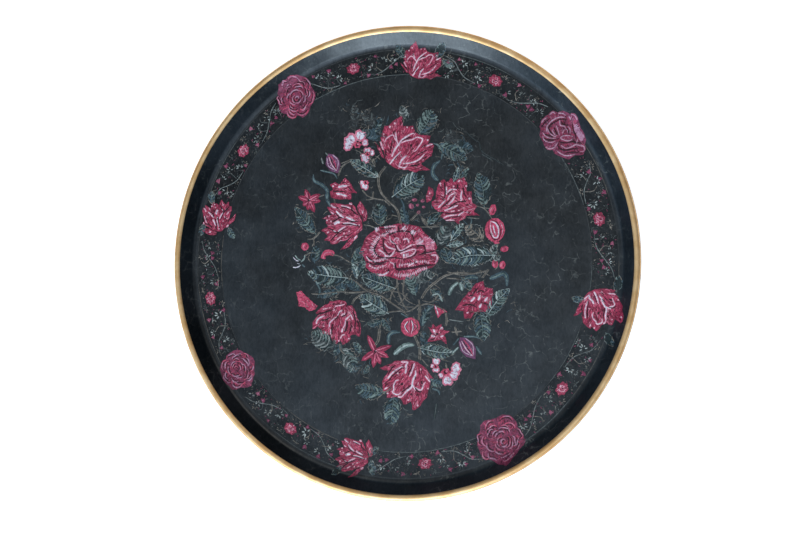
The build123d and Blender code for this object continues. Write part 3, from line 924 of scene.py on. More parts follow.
# ---- the bouquet's leaves and stems, in mm ------------------------------------------------------
# Serrated leaves: (x, y, the way the tip points in degrees, length, width, vein pigment).
LEAVES = [
    (-37, 91, 149, 31, 12, "mint"), (-31, 100, 124, 17, 6, "umber"), (-95, 42, 128, 31, 13, "sea"),
    (-21, 46, 96, 20, 15, "sea"), (-43, 7, 62, 18, 10, "sea"), (-84, 9, 82, 16, 8, "navy"),
    (-27, 124, 165, 24, 10, "navy"), (-47, 142, 95, 22, 9, "shade"),
    (-33, 139, 130, 20, 11, "shade"), (-23, 132, 60, 16, 7, "navy"), (24, 134, 62, 24, 18, "sea"),
    (3, 143, 110, 15, 8, "grey"), (50, 104, -28, 30, 15, "sea"), (60, 108, -12, 20, 12, "navy"),
    (8, 72, 30, 33, 21, "mint"), (77, 68, 100, 30, 16, "sea"), (53, 83, 74, 14, 5, "mint"),
    (61, 84, 50, 13, 5, "sea"), (32, 41, 42, 16, 8, "sea"), (40, 25, 64, 19, 14, "grey"),
    (55, 28, 50, 19, 8, "mint"), (53, 16, 8, 15, 6, "mint"), (67, 2, 187, 40, 19, "mint"),
    (44, 6, 108, 15, 11, "sea"), (88, 10, 62, 12, 7, "grey"), (70, 26, 140, 20, 15, "umber"),
    (50, 118, 128, 17, 11, "shade"), (-73, -12, 172, 37, 20, "mint"),
    (-46, -8, 112, 14, 6, "mint"), (-38, -5, 62, 15, 7, "sea"), (-23, -19, 160, 32, 17, "mint"),
    (-27, -40, 148, 30, 18, "mint"), (-26, -57, 192, 14, 7, "sea"), (-14, -60, 304, 14, 6, "sea"),
    (-76, -73, 152, 26, 18, "grey"), (-52, -93, 300, 22, 16, "grey"),
    (-43, -82, 128, 13, 6, "sea"), (-34, -102, 62, 9, 5, "sea"), (-46, -101, 200, 14, 8, "navy"),
    (-31, -121, 168, 27, 15, "sea"), (-8, -141, 264, 26, 16, "sea"),
    (-48, -21, 140, 17, 9, "navy"), (-60, -25, 30, 16, 8, "navy"), (10, -21, 112, 20, 13, "sea"),
    (23, -15, 14, 20, 11, "grey"), (63, -22, 308, 15, 7, "sea"), (93, -39, 50, 31, 14, "mint"),
    (77, -61, 276, 28, 16, "sea"), (35, -84, 352, 32, 13, "mint"), (22, -73, 96, 13, 8, "navy"),
    (34, -114, 340, 14, 7, "navy"), (24, -50, 66, 19, 8, "navy"), (34, -31, 320, 13, 7, "sea"),
    (90, 3, 20, 11, 6, "grey"), (-72, -31, 200, 16, 7, "navy"), (4, 44, 104, 19, 7, "navy"),
    (-62, -84, 240, 12, 6, "navy"),
]
# Narrow blades and tendrils: (width, pigment, points).
BLADES = [
    (2.2, "sea", [(-69, 54), (-73, 62), (-73, 70), (-79, 76), (-86, 80), (-87, 86)]),
    (1.3, "pale", [(-77, 96), (-79, 102)]), (1.1, "pale", [(-72, 104), (-75, 107)]),
    (1.2, "sea", [(-80, 90), (-72, 88), (-66, 86), (-63, 81)]),
    (2.6, "sea", [(36, 77), (31, 83), (32, 91), (38, 96)]),
    (1.2, "sea", [(39, 97), (40, 104), (37, 110), (31, 113)]),
    (1.0, "sea", [(36, 111), (44, 110)]), (3.2, "navy", [(8, 38), (4, 46), (2, 56), (-2, 62)]),
    (1.0, "shade", [(44, 112), (52, 116), (62, 115)]),
    (0.9, "shade", [(64, 122), (70, 116), (76, 112)]),
    (0.8, "shade", [(76, 112), (78, 104), (90, 96), (99, 90)]),
    (0.9, "grey", [(78, 101), (88, 95)]),
    (2.4, "sea", [(-12, -78), (-12, -71), (-8, -67), (-1, -67)]),
    (3.0, "mint", [(-7, -88), (0, -82), (6, -79), (13, -79)]),
    (1.3, "sea", [(-84, -18), (-80, -26), (-82, -34)]),
    (2.2, "mint", [(46, -32), (49, -25), (55, -20)]), (2.2, "mint", [(57, -20), (59, -28)]),
    (2.6, "sea", [(61, -17), (67, -15), (74, -16)]),
    (2.0, "mint", [(30, -32), (36, -31), (40, -38)]),
    (2.0, "sea", [(21, -61), (22, -52), (27, -45), (32, -42)]),
    (2.8, "sea", [(85, -17), (92, -14), (98, -12), (101, -16), (101, -24)]),
    (1.2, "sea", [(50, -79), (56, -72)]), (1.4, "mint", [(50, -86), (55, -81)]),
    (1.6, "sea", [(72, -80), (77, -88)]), (1.2, "sea", [(60, -71), (70, -71), (76, -73)]),
    (1.3, "sea", [(30, -120), (36, -122), (37, -126)]),
    (1.6, "grey", [(34, -134), (33, -142), (32, -149)]), (1.3, "sea", [(44, -84), (52, -85)]),
    (0.8, "pale", [(46, -55), (53, -56), (60, -57)]), (1.0, "sea", [(65, 30), (68, 38), (66, 42)]),
    (0.9, "sea", [(0, -49), (7, -53)]), (2.2, "white", [(-107, 6), (-104, 3), (-101, 2)]),
    (1.0, "mint", [(-105, 8), (-102, 4), (-99, 3)]),
    (2.2, "white", [(-107, -4), (-103, -4), (-99, -2)]),
    (1.1, "mint", [(-99, 1), (-96, 4), (-95, 8)]), (1.0, "sea", [(-98, -1), (-95, -4)]),
    (0.9, "white", [(-103, 0), (-100, -1)]), (1.3, "sea", [(-66, 88), (-62, 94)]),
]
# Stems: (width, points).
STEMS = [
    (2.4, [(0, 36), (-4, 50), (-12, 58), (-19, 66), (-22, 76), (-21, 84), (-15, 92)]),
    (1.9, [(-22, 81), (-30, 86), (-38, 88), (-50, 98)]), (1.5, [(-50, 98), (-58, 93), (-62, 84)]),
    (1.2, [(-51, 99), (-59, 96)]), (1.8, [(-38, 70), (-33, 64), (-25, 61), (-16, 59), (-11, 54)]),
    (1.2, [(-34, 60), (-27, 61)]), (1.4, [(-28, 61), (-27, 68)]),
    (1.6, [(-36, 36), (-30, 35), (-26, 33)]), (1.7, [(-92, 23), (-86, 24), (-80, 30)]),
    (1.4, [(-86, 23), (-86, 17)]), (1.5, [(-95, 7), (-89, 10), (-82, 9)]),
    (1.9, [(-68, 8), (-60, 6), (-50, 0)]), (1.3, [(-81, 64), (-76, 66)]),
    (1.8, [(20, 43), (23, 36), (30, 31)]), (1.5, [(19, 33), (37, 33)]),
    (1.8, [(9, 39), (15, 45), (18, 48)]), (2.6, [(22, 41), (25, 34)]),
    (1.5, [(72, 52), (79, 50), (84, 45), (87, 40)]), (1.2, [(80, 50), (88, 49)]),
    (1.2, [(64, 41), (75, 40)]),
    (2.6, [(3, -47), (-8, -40), (-20, -32), (-34, -27), (-45, -18), (-56, -13)]),
    (2.0, [(-34, -28), (-48, -29), (-60, -28), (-78, -30), (-88, -30)]),
    (1.8, [(-38, -30), (-45, -35), (-48, -40)]), (1.3, [(-60, -28), (-65, -34)]),
    (1.3, [(-62, -27), (-67, -23)]), (1.5, [(-14, -48), (0, -47), (6, -51)]),
    (1.4, [(-22, -20), (-12, -25), (-6, -34)]), (1.4, [(-20, -60), (-21, -68)]),
    (2.6, [(-21, -64), (-22, -74), (-25, -79)]), (2.0, [(-60, -78), (-59, -84), (-55, -88)]),
    (1.6, [(-20, -123), (-14, -123), (-9, -119)]),
    (1.6, [(-4, -16), (-3, -26), (1, -38), (6, -46)]),
    (1.5, [(3, -17), (2, -28), (5, -36), (14, -41)]), (1.3, [(-8, -28), (0, -30), (8, -36)]),
    (1.2, [(-6, -36), (2, -42), (12, -43)]), (1.2, [(-2, -20), (-9, -30), (-11, -40)]),
    (1.4, [(2, -48), (10, -46), (18, -40)]), (1.1, [(6, -30), (2, -36), (-3, -41)]),
    (2.4, [(20, -35), (25, -27), (33, -20), (42, -14), (54, -11), (70, -12)]),
    (1.7, [(44, -16), (56, -17), (68, -21)]), (1.6, [(45, -10), (60, -13), (84, -9)]),
    (1.8, [(17, -36), (18, -44), (17, -56)]), (1.7, [(18, -42), (25, -40), (33, -42)]),
    (2.0, [(34, -42), (42, -47), (44, -55), (43, -61)]), (2.6, [(13, -70), (18, -82), (18, -93)]),
    (1.2, [(30, -20), (38, -26)]), (2.0, [(52, -62), (54, -70)]), (1.8, [(49, -67), (58, -66)]),
    (1.8, [(38, -92), (45, -94)]), (1.5, [(43, -96), (44, -101)]), (1.8, [(78, -16), (84, -8)]),
    (1.6, [(76, -9), (85, -14)]), (1.2, [(76, -51), (70, -48), (66, -47)]),
    (1.3, [(26, -99), (20, -92)]), (1.4, [(-66, 62), (-65, 57)]),
    (1.2, [(38, -29), (30, -38), (21, -37)]), (1.1, [(12, -52), (16, -60), (16, -66)]),
    (1.2, [(-44, 108), (-40, 106), (-38, 100)]),
]


# How many mm of a leaf go to one tooth of its edge, and to one pair of its veins.
LEAF_STEP = 3.2
# The share of a leaf's edge strokes and veins that are painted. The rest are left out at random.
LEAF_MARKS_KEPT = 0.86
TWIGS_PER_LEAF = 20
# The tones of a leaf by its veins' colour, the brightest first.
LEAF_TINTS = {
    "mint": ("mint", "sea", "navy", "sea", "navy"),
    "sea": ("sea", "navy", "sea", "navy", "grey"),
    "navy": ("navy", "navy", "sea", "grey"),
    "grey": ("grey", "pale", "grey", "sea"),
    "umber": ("umber", "shade", "umber"),
    "shade": ("shade", "grey", "shade"),
}


def leaf_outline(length, width):
    """A pointed leaf with fine teeth along both edges, its tip along +X."""
    teeth = max(3, round(length / LEAF_STEP))
    upper = []
    for tooth in range(1, 2 * teeth):
        along = tooth / (2 * teeth)
        reach = 0.5 * width * math.sin(math.pi * along ** 0.85) ** 0.8
        upper.append((length * (along - 0.5), reach * (1.06 if tooth % 2 else 0.86)))
    lower = [(x, -y) for x, y in reversed(upper)]
    return [(-0.5 * length, 0.0)] + upper + [(0.5 * length, 0.0)] + lower


def paint_leaf(paint, at, heading, length, width, vein, layer):
    """One leaf: near-black body, loose dabs, fine toothed edge, midrib, then its veins."""
    draw = paint.random
    tints = LEAF_TINTS[vein]

    def put(points):
        return moved(points, at, heading)

    outline = leaf_outline(length, width)
    curl = draw.uniform(-0.1, 0.1) * length
    placed = put([(x, y + curl * (1 - (2 * x / length) ** 2)) for x, y in outline])
    if vein not in ("shade", "umber"):
        paint.patch(placed, "teal", layer, 0.25)
    dabs = round(0.28 * length * width ** 0.5)
    paint.hatch(placed, placed[0], dabs, tints, 3.0, 0.55, layer + 0.05)
    half = len(placed) // 2
    for side in (placed[:half + 1], placed[half:] + placed[:1]):
        for first in range(0, len(side) - 2, 3):
            if draw.random() < LEAF_MARKS_KEPT:
                thick = draw.uniform(0.4, 0.75)
                edge = draw.choice(("umber", "umber", "pale", tints[0]))
                edge = tints[0] if vein in ("shade", "navy") else edge
                paint.stroke(side[first:first + 4], thick, edge, layer + 0.08)
    rib = [(-0.56 * length, 0), (0, curl), (0.44 * length, 0.2 * curl)]
    paint.stroke(put(rib), 0.75, tints[0], layer + 0.11, 0.9, 0.2)

    # A vein is a broad slab with a fine glint on it, in brighter tones on the leaf's lit side.
    best, good, fair = tints[:3]
    bright = (best, good, good, fair), (best, "pale", "cream" if vein == "mint" else best)
    dim = tints[1:], (best, "umber", good)
    count = max(3, round(length / LEAF_STEP))
    lit = draw.choice((-1, 1))
    for index in range(count):
        along = (index + 0.6) / (count + 0.4)
        x, y = length * (along - 0.5), curl * (1 - (2 * along - 1) ** 2)
        reach = 0.5 * width * math.sin(math.pi * min(0.96, along + 0.08)) ** 0.8
        for side in (-1, 1):
            if draw.random() > LEAF_MARKS_KEPT:
                continue
            broad, fine = bright if side == lit else dim
            sway = draw.uniform(-0.12, 0.12) * reach
            waist = (x + 0.22 * reach + sway, y + side * 0.5 * reach)
            tip = (x + 0.66 * reach + 0.6 + sway, y + side * 0.88 * reach)
            slab = min(2.4, 0.62 * length / count) * draw.uniform(0.7, 1.25)
            line = put([(x, y), waist, tip])
            paint.stroke(line, slab, draw.choice(broad), layer + 0.1, 0.3, 0.4)
            pigment = draw.choice(fine)
            glint = put([
                (x + 0.25 * reach + 0.5, y + side * 0.2 * reach), (waist[0] + 0.6, waist[1]),
                (0.5 * (waist[0] + tip[0]) + 0.6, 0.5 * (waist[1] + tip[1])),
            ])
            paint.stroke(glint, draw.uniform(0.3, 0.65), pigment, layer + 0.14, 0.5, 0.3)


def paint_undergrowth(paint):
    """Faint loose twigs that thicken the bouquet between its leaves."""
    draw = paint.random
    for x, y, _, length, _, _ in LEAVES:
        for _ in range(TWIGS_PER_LEAF):
            turn = draw.uniform(0, 2 * math.pi)
            out = draw.uniform(0.15, 0.68) * length
            spot = (x + out * math.cos(turn), y + out * math.sin(turn))
            way = draw.uniform(0, 360)
            reach = draw.uniform(2.5, 7.0)
            bend, end = draw.uniform(-1.4, 1.4), draw.uniform(-1.4, 1.4)
            twig = moved([(0, 0), (0.5 * reach, bend), (reach, end)], spot, way)
            pigment = draw.choice(("shade", "umber_dark", "umber_dark", "grey", "navy", "umber"))
            paint.stroke(twig, draw.uniform(0.35, 0.75), pigment, 0.04)


def paint_foliage():
    """The bouquet's leaves, the twigs between them and its long blades."""
    paint = Paint(seed=11)
    for x, y, heading, length, width, vein in LEAVES:
        layer = 0.05 if vein in ("navy", "shade") else 0.07
        paint_leaf(paint, (x, y), heading, 1.06 * length, 1.04 * width, vein, layer)
    paint_undergrowth(paint)
    for width, pigment, points in BLADES:
        under = {"mint": "sea", "sea": "navy", "pale": "grey"}.get(pigment, "teal")
        paint.stroke(points, 1.5 * width, under, 0.1, 0.5, 0.3)
        paint.stroke(points, 0.6 * width, pigment, 0.2, 0.5, 0.2)
    paint.piece("bouquet_foliage", "paint_teal", "bouquet_leaves")


def paint_stems():
    """The brown branches: a dark stroke, lighter ones along it, and short thorns."""
    paint = Paint(seed=23)
    draw = paint.random
    for width, points in STEMS:
        paint.stroke(points, 1.1 * width, "shade", 0.09, 0.8, 0.6)
        for side, pigment in ((-0.28, "umber"), (0.26, "umber"), (-0.05, "shade")):
            shift = [(x + side * width, y - 0.4 * side * width) for x, y in points]
            paint.stroke(shift, 0.42 * width, pigment, 0.17, 0.7, 0.5)
        for spot in smooth(points, 7.0)[1:-1]:
            if draw.random() < 0.55:
                way = draw.choice((40, 140, 220, 320)) + draw.uniform(-30, 30)
                thorn = moved([(0, 0), (draw.uniform(1.6, 3.2), 0.3)], spot, way)
                paint.stroke(thorn, 0.5, "umber", 0.14, 0.9, 0.2)
    paint.piece("bouquet_branches", "paint_umber", "bouquet_stems")


# ---- painting the flowers ----------------------------------------------------------------------
# How many streaks are tried in each flower's body. Those that would leave it are not painted.
CENTRE_STREAKS, TULIP_STREAKS, SPECKLED_STREAKS = 900, 560, 110
BORDER_TULIP_STREAKS, BORDER_ROSE_STREAKS, RINGED_STREAKS, SMALL_ROSE_STREAKS = 330, 420, 480, 80
# The pigments that a flower's tones stand for; turned is the under side of a petal turned over.
CRIMSONS = {name: name for name in ("wine", "crimson", "rose", "blush", "white", "maroon")}
CRIMSONS["turned"] = "rose"
PLUMS = {
    "wine": "plum", "crimson": "wine", "rose": "magenta", "blush": "heather", "white": "mauve",
    "maroon": "maroon", "turned": "heather",
}


def paint_flower(paint, spec, count, at=None, turn=0.0, scale=1.0, squeeze=1.0, fill=0.0,
                 tones=CRIMSONS):
    """A flower from its table: dark body, streaks over it, creases, then the light strokes.

    Each layer is a little higher than the last, so the light strokes lie on top.
    """
    at = at or spec["at"]

    def put(points):
        return moved(points, at, turn, scale, squeeze)

    heart = put([spec["heart"]])[0]
    for index, outline in enumerate(spec["outlines"]):
        placed = put(outline[::-1] if squeeze < 0 else outline)
        paint.patch(placed, tones["wine"], 0.08 + 0.01 * index, 0.3, 1.6, fill)
        amount = round(count * (1.0 if index == 0 else 0.16))
        broad = ("crimson", "rose", "wine", "crimson", "maroon", "crimson")
        body = [tones[name] for name in broad]
        paint.hatch(placed, heart, amount, body, 4.6 * scale, 1.3 * scale, 0.13)
        fine = [tones[name] for name in ("rose", "crimson", "blush", "maroon", "maroon")]
        paint.hatch(placed, heart, round(0.8 * amount), fine, 3.4 * scale, 0.6 * scale, 0.17)
    for outline in spec.get("pale", []):
        placed = put(outline[::-1] if squeeze < 0 else outline)
        paint.patch(placed, tones["turned"], 0.15, 0.2)
        streaks = [tones[name] for name in ("blush", "white", "blush", "rose", "crimson")]
        paint.hatch(placed, heart, 90, streaks, 3.6 * scale, 1.0 * scale, 0.19)
        teeth = outline[-1:] + outline[:1] + outline[1:2]
        paint.comb(put(teeth), 3.0, 7, tones["crimson"], 0.7, 0.2)
        paint.comb(put(outline[1:3]), 2.6, 4, tones["white"], 0.8)
    for width, points in spec["darks"]:
        paint.stroke(put(points), width * 1.6 * scale, tones["maroon"], 0.21, 0.5, 0.3)
    for tick, number, curve in spec.get("combs", []):
        paint.stroke(put(curve), 0.7 * tick * scale, tones["rose"], 0.18, 0.7, 0.6)
        reach = 1.15 * tick * scale
        paint.comb(put(curve), reach, round(1.3 * number), tones["white"], 0.8 * scale, 0.26)
    for width, points in spec.get("pinks", []):
        paint.stroke(put(points), width * 1.1 * scale, tones["blush"], 0.22, 0.6, 0.5)
    for width, points in spec["lights"]:
        paint.stroke(put(points), (width + 1.5) * scale, tones["rose"], 0.19, 0.6, 0.4)
        paint.stroke(put(points), (width + 0.2) * scale, tones["blush"], 0.24, 0.5, 0.35)
        paint.stroke(put(points), width * 0.7 * scale, tones["white"], 0.29, 0.4, 0.3)
    for x, y, radius in spec["dots"]:
        paint.dot(put([(x, y)])[0], radius * scale, tones["blush"], 0.22)


def paint_star(paint, at, tips):
    """Pointed petals meeting at a dark centre."""
    for index, tip in enumerate(tips):
        reach = math.hypot(*tip)
        heading = math.degrees(math.atan2(tip[1], tip[0]))
        petal = [(0, -1.8), (0.45 * reach, -3.0), (0.8 * reach, -1.9), (reach, 0),
                 (0.78 * reach, 2.1), (0.4 * reach, 2.9), (0, 1.8)]
        paint.patch(moved(petal, at, heading), "wine", 0.05 + 0.012 * index, 0.2)
        paint.hatch(moved(petal, at, heading), at, 12, ("crimson", "crimson", "rose"), 3.5, 1.0)
        paint.stroke(moved([(1.5, 0.5), (0.8 * reach, 0.3)], at, heading), 1.1, "rose", 0.17)
        paint.stroke(moved([(1, -1.2), (0.6 * reach, -1.1)], at, heading), 0.7, "maroon", 0.16)
    paint.dot(at, 1.4, "maroon", 0.2)
    paint.dot((at[0] + 0.7, at[1] + 0.5), 0.6, "blush", 0.24)


def paint_blossom(paint, at, heart, lobes):
    """White petals round a crimson heart, each notched at its lip."""
    for index, (x, y, radius) in enumerate(lobes):
        away = math.degrees(math.atan2(y - heart[1], x - heart[0]))
        petal = [(-0.9, -0.3), (-0.4, -0.85), (0.3, -1.05), (0.9, -0.7), (0.8, -0.1), (1.05, 0.4),
                 (0.6, 0.95), (-0.2, 0.9), (-0.8, 0.35)]
        place = (at[0] + x, at[1] + y)
        low = 0.06 + 0.012 * index
        paint.patch(moved(petal, place, away, 1.5 * radius), "rose", low, 0.2, 1.0)
        paint.patch(moved(petal, place, away, 1.02 * radius), "white", low + 0.05, 0.3, 1.0)
        paint.stroke(moved([(-1, 0), (0.5, 0.1)], place, away, radius), 1.1, "rose", 0.18)
    centre = (at[0] + heart[0], at[1] + heart[1])
    paint.patch(moved(ring_of(12, heart[2], heart[2] * 0.8, 0.25), centre), "crimson", 0.19, 0.2)
    paint.dot(centre, 0.4 * heart[2], "maroon", 0.22)
    paint.dot((centre[0] + 0.9, centre[1] + 0.7), 0.25 * heart[2], "rose", 0.25)


def paint_bud(paint, x, y, width, height, lean, pigment):
    """A small bud with a light side and a crease."""
    shape = ring_of(12, 0.5 * width, 0.5 * height, 0.08, 0.2)
    paint.patch(moved(shape, (x, y), lean), pigment, 0.1, 0.15)
    light = [(-0.2 * width, -0.25 * height), (-0.22 * width, 0.05 * height), (0, 0.3 * height)]
    paint.stroke(moved(light, (x, y), lean), 0.22 * width, "rose", 0.18)
    crease = [(0.12 * width, -0.3 * height), (0.2 * width, 0.2 * height)]
    paint.stroke(moved(crease, (x, y), lean), 0.12 * width, "maroon", 0.17)


def paint_oval_bud(paint):
    """The large bud at the right, with one petal folded into a ring."""
    at = (90, 29)
    tail = [(-3, -9), (3.4, -9.6), (4.4, -12.6), (0, -13.4)]
    paint.patch(moved(ring_of(20, 9.6, 11.4, 0.03), at), "crimson", 0.1, 0.2)
    paint.patch(moved(tail, at), "crimson", 0.11, 0.2)
    paint.hatch(moved(ring_of(16, 9, 10.6), at), (90, 14), 26, ("rose", "maroon"), 3.5, 0.8)
    fold = [(-3.7, 8.3), (1.1, 5.9), (3.5, 0.2), (2.7, -6.3), (-0.5, -7.2), (-2.9, -3.1),
            (-4.1, 2.6)]
    closed = fold + fold[:1]
    for points, width, pigment, height in (
        ([(x * 1.45, y * 1.25) for x, y in closed], 1.3, "maroon", 0.17),
        (closed, 2.0, "blush", 0.2), (fold, 1.3, "white", 0.27),
        ([(-1.6, 4), (-0.4, -1), (0.8, -4.6)], 1.4, "white", 0.26),
        ([(5.6, 6.6), (7.6, 0.4), (6.2, -5.6)], 0.9, "blush", 0.22),
    ):
        paint.stroke(moved(points, at), width, pigment, height)


def paint_round_bud(paint):
    """The round bud under the centre rose, striped with bowed petals."""
    at = (9, -62)
    paint.patch(moved(ring_of(18, 9.4, 9.2, 0.03), at), "crimson", 0.1, 0.2)
    paint.hatch(moved(ring_of(16, 8.6, 8.4), at), (9, -74), 20, ("rose", "maroon"), 3.2, 0.8)
    for bow, reach, pigment in (
        (-5.4, 5.6, "white"), (-1.2, 7.2, "rose"), (2.6, 6.4, "white"), (6, 4, "rose"),
    ):
        line = [(0.4 * bow, reach), (bow, 0.4), (0.3 * bow, -reach)]
        paint.stroke(moved([(x + 0.9, y) for x, y in line], at), 1.0, "maroon", 0.17)
        paint.stroke(moved(line, at), 1.1, pigment, 0.24)


def paint_odd_buds(paint):
    """The triangular bud, the ragged one and the curled one."""
    wedge = moved([(-6, 6.4), (-3.4, 3.4), (2.6, 2.2), (6.6, -0.8), (1.6, -2.2), (-2.4, -6.6),
                   (-4.6, -1.6)], (38, -47))
    paint.patch(wedge, "crimson", 0.1, 0.2)
    paint.stroke([(33, -42), (35, -47), (36, -51)], 1.3, "white", 0.24)
    paint.stroke([(37, -44), (42, -47)], 1.0, "maroon", 0.17)

    ragged = moved([(-8.5, 8), (-3, 9), (1, 4), (7, -1), (13, -5.4), (10, -9), (4.6, -10.6),
                    (-0.4, -6.4), (-6.6, -5.4), (-7, 1)], (-95, -36))
    paint.patch(ragged, "crimson", 0.1, 0.45)
    paint.hatch(ragged, (-83, -45), 70, ("rose", "blush", "maroon", "wine"), 3.0, 0.9)

    curled = [(-77, 4), (-75, 9), (-70, 10), (-66, 8)]
    paint.stroke(curled, 5.0, "crimson", 0.12, 0.7, 0.6)
    paint.stroke(curled, 1.3, "rose", 0.2)
    paint.stroke([(-75, 5), (-73, 7)], 1.2, "maroon", 0.2)


def paint_purple_bud(paint, at, turn, length, width):
    """A closed purple bud, ribbed along its length."""
    shape = [(-0.5, 0), (-0.36, 0.3), (-0.1, 0.5), (0.2, 0.42), (0.5, 0.02), (0.24, -0.4),
             (-0.1, -0.5), (-0.38, -0.28)]
    bud = moved([(x * length, y * width) for x, y in shape], at, turn)
    paint.patch(bud, "purple", 0.1, 0.25)
    paint.hatch(bud, at, 26, ("mauve", "purple", "crimson"), 4.0, 0.8)
    for side, pigment in ((0.4, "mauve"), (0.14, "crimson"), (-0.12, "blush"), (-0.36, "mauve")):
        rib = [(-0.36 * length, 0.6 * side * width), (0, side * width), (0.36 * length, 0)]
        paint.stroke(moved(rib, at, turn), 1.2, pigment, 0.22)
    crease = [(-0.3 * length, 0), (0.05 * length, -0.02 * width), (0.3 * length, 0.05 * width)]
    paint.stroke(moved(crease, at, turn), 1.2, "maroon", 0.2)


def paint_bouquet():
    """The centre rose, the five tulips, then the small flowers and buds as one piece."""
    rose = Paint(seed=31)
    paint_flower(rose, CENTRE_ROSE, CENTRE_STREAKS)
    rose.piece("centre_rose", "paint_crimson", "bouquet_flowers")
    for index, (name, spec) in enumerate(TULIPS.items()):
        paint = Paint(seed=41 + index)
        paint_flower(paint, spec, TULIP_STREAKS)
        paint.piece(name, "paint_crimson", "bouquet_flowers")
    small = Paint(seed=53)
    for spec in SPECKLED:
        paint_flower(small, spec, SPECKLED_STREAKS)
    for at, tips in STARS:
        paint_star(small, at, tips)
    for at, heart, lobes in BLOSSOMS:
        paint_blossom(small, at, heart, lobes)
    for bud in BUDS:
        paint_bud(small, *bud)
    paint_oval_bud(small)
    paint_round_bud(small)
    paint_odd_buds(small)
    paint_purple_bud(small, (64, -82), -56, 25, 14)
    paint_purple_bud(small, (-67, 96), -64, 22, 14)
    small.piece("small_flowers", "paint_crimson", "bouquet_flowers")


# ---- painting the border -----------------------------------------------------------------------
BORDER_R = 192.0
INNER_LINE = 180.2
OUTER_LINE = 204.6
# Tulips: (place, which bouquet tulip's strokes, turn in degrees, scale, -1 where mirrored).
BORDER_TULIPS = [
    ((20, 192), "top_tulip", 8, 0.70, 1), ((188, -47), "bottom_tulip", 42, 0.86, 1),
    ((-46, -185), "upper_left_tulip", -6, 0.80, 1), ((-184, 46), "upper_left_tulip", 92, 0.76, -1),
]
BORDER_ROSE_AT = (154, 117)
# Ringed roses: (place, size, where the eye lies, turn).
RINGED_ROSES = [
    ((94, -167), 21.5, (4, 0), -24), ((-162, -103), 18.0, (-2, 2), 12),
    ((-105, 163), 19.2, (2, -2), -10),
]
# Where the vine and lines stop: (place, how far from it). A tulip's reach is at scale 1.
TULIP_REACH = 24
BORDER_ROSE_REACH = 21.6
BLOOMS = [(at, TULIP_REACH * scale) for at, _, _, scale, _ in BORDER_TULIPS]
BLOOMS += [(BORDER_ROSE_AT, BORDER_ROSE_REACH)]
BLOOMS += [(at, size) for at, size, _, _ in RINGED_ROSES]
# One small round rose between each two large flowers, by its angle in degrees.
GAP_ANGLES = [321.9, 276.9, 235.7, 190.0, 144.9, 104.1, 61.9, 11.3]


def polar(radius, degrees):
    return (radius * math.cos(math.radians(degrees)), radius * math.sin(math.radians(degrees)))


def paint_small_rose(paint, angle):
    """A small round rose on the border, crossed by three bent petals."""
    draw = paint.random
    at = polar(BORDER_R + draw.uniform(-1.5, 3), angle)
    lobes = ring_of(14, 5.7, 7.2, 0.18, draw.uniform(0, 3))
    paint.patch(moved(lobes, at, angle), "wine", 0.1, 0.5)
    body = moved(ring_of(12, 5.4, 6.8), at, angle)
    streaks = ("rose", "crimson", "blush", "rose", "wine")
    paint.hatch(body, at, SMALL_ROSE_STREAKS, streaks, 2.4, 0.9)
    for turn in (0, 120, 240):
        way = angle + turn + draw.uniform(-30, 30)
        paint.stroke(moved([(1.6, -1.6), (3.2, 0), (1.8, 1.8)], at, way), 0.8, "blush", 0.2)
    paint.dot((at[0] + 0.5, at[1]), 0.7, "maroon", 0.2)


def paint_ringed_rose(paint, at, size, eye, turn):
    """A plum rose: rings of overlapping petals that open round an eye set off its middle."""
    draw = paint.random
    edge_points = 30
    lip_steps = 8
    petal_counts = (1, 2, 3, 4, 5, 6, 7)

    def put(points):
        return moved(points, at, turn, 1.0, 0.98)

    def bow(share, begin, sweep, spread, ruffle, tilt, offset=0.0):
        """The lip of one petal, an arc round the eye that bulges, ruffles and tilts."""
        line = []
        for step in range(lip_steps + 1):
            along = step / lip_steps
            angle = begin + sweep * along
            bulge = 0.88 + 0.13 * math.sin(math.pi * along) + ruffle * math.sin(9 * along)
            bulge += tilt * (along - 0.5)
            reach = size * (spread * bulge + offset)
            line.append((eye[0] * (1 - share) + reach * math.cos(angle),
                         eye[1] * (1 - share) + 1.08 * reach * math.sin(angle)))
        return put(line)

    edge = []
    for index in range(edge_points):
        angle = 2 * math.pi * index / edge_points
        reach = size * (1 + 0.06 * math.sin(5 * angle) + draw.uniform(-0.07, 0.07))
        edge.append((reach * math.cos(angle), 1.05 * reach * math.sin(angle)))
    placed = put(edge)
    paint.patch(placed, "plum", 0.08, 0.3, 1.6, 2.4)
    streaks = ("wine", "plum", "wine", "magenta", "maroon", "crimson")
    paint.hatch(placed, put([eye])[0], RINGED_STREAKS, streaks, 4.0, 1.1, 0.13)
    for ring, petals in enumerate(petal_counts):
        share = (ring + 0.7) / len(petal_counts)
        for index in range(petals):
            begin = 2 * math.pi * (index + draw.uniform(-0.18, 0.18)) / petals + 1.9 * ring
            sweep = 2 * math.pi / petals * draw.uniform(0.5, 0.84)
            spread = share * draw.uniform(0.9, 1.05)
            petal = (share, begin, sweep, spread, draw.uniform(0.0, 0.05),
                     draw.uniform(-0.22, 0.22))
            paint.stroke(bow(*petal, -0.065), draw.uniform(1.0, 1.7), "maroon", 0.18, 0.4, 0.3)
            lip = bow(*petal)
            paint.stroke(lip, draw.uniform(1.2, 1.9), "crimson", 0.19, 0.5, 0.3)
            shown = lip[draw.choice((0, 1)):draw.choice((7, 8, 9))]
            paint.stroke(shown, draw.uniform(0.8, 1.8), "heather", 0.24, 0.4, 0.3)
            if draw.random() < 0.7:
                paint.stroke(lip[2:draw.choice((5, 6, 7))], 0.75, "mauve", 0.28, 0.4, 0.3)


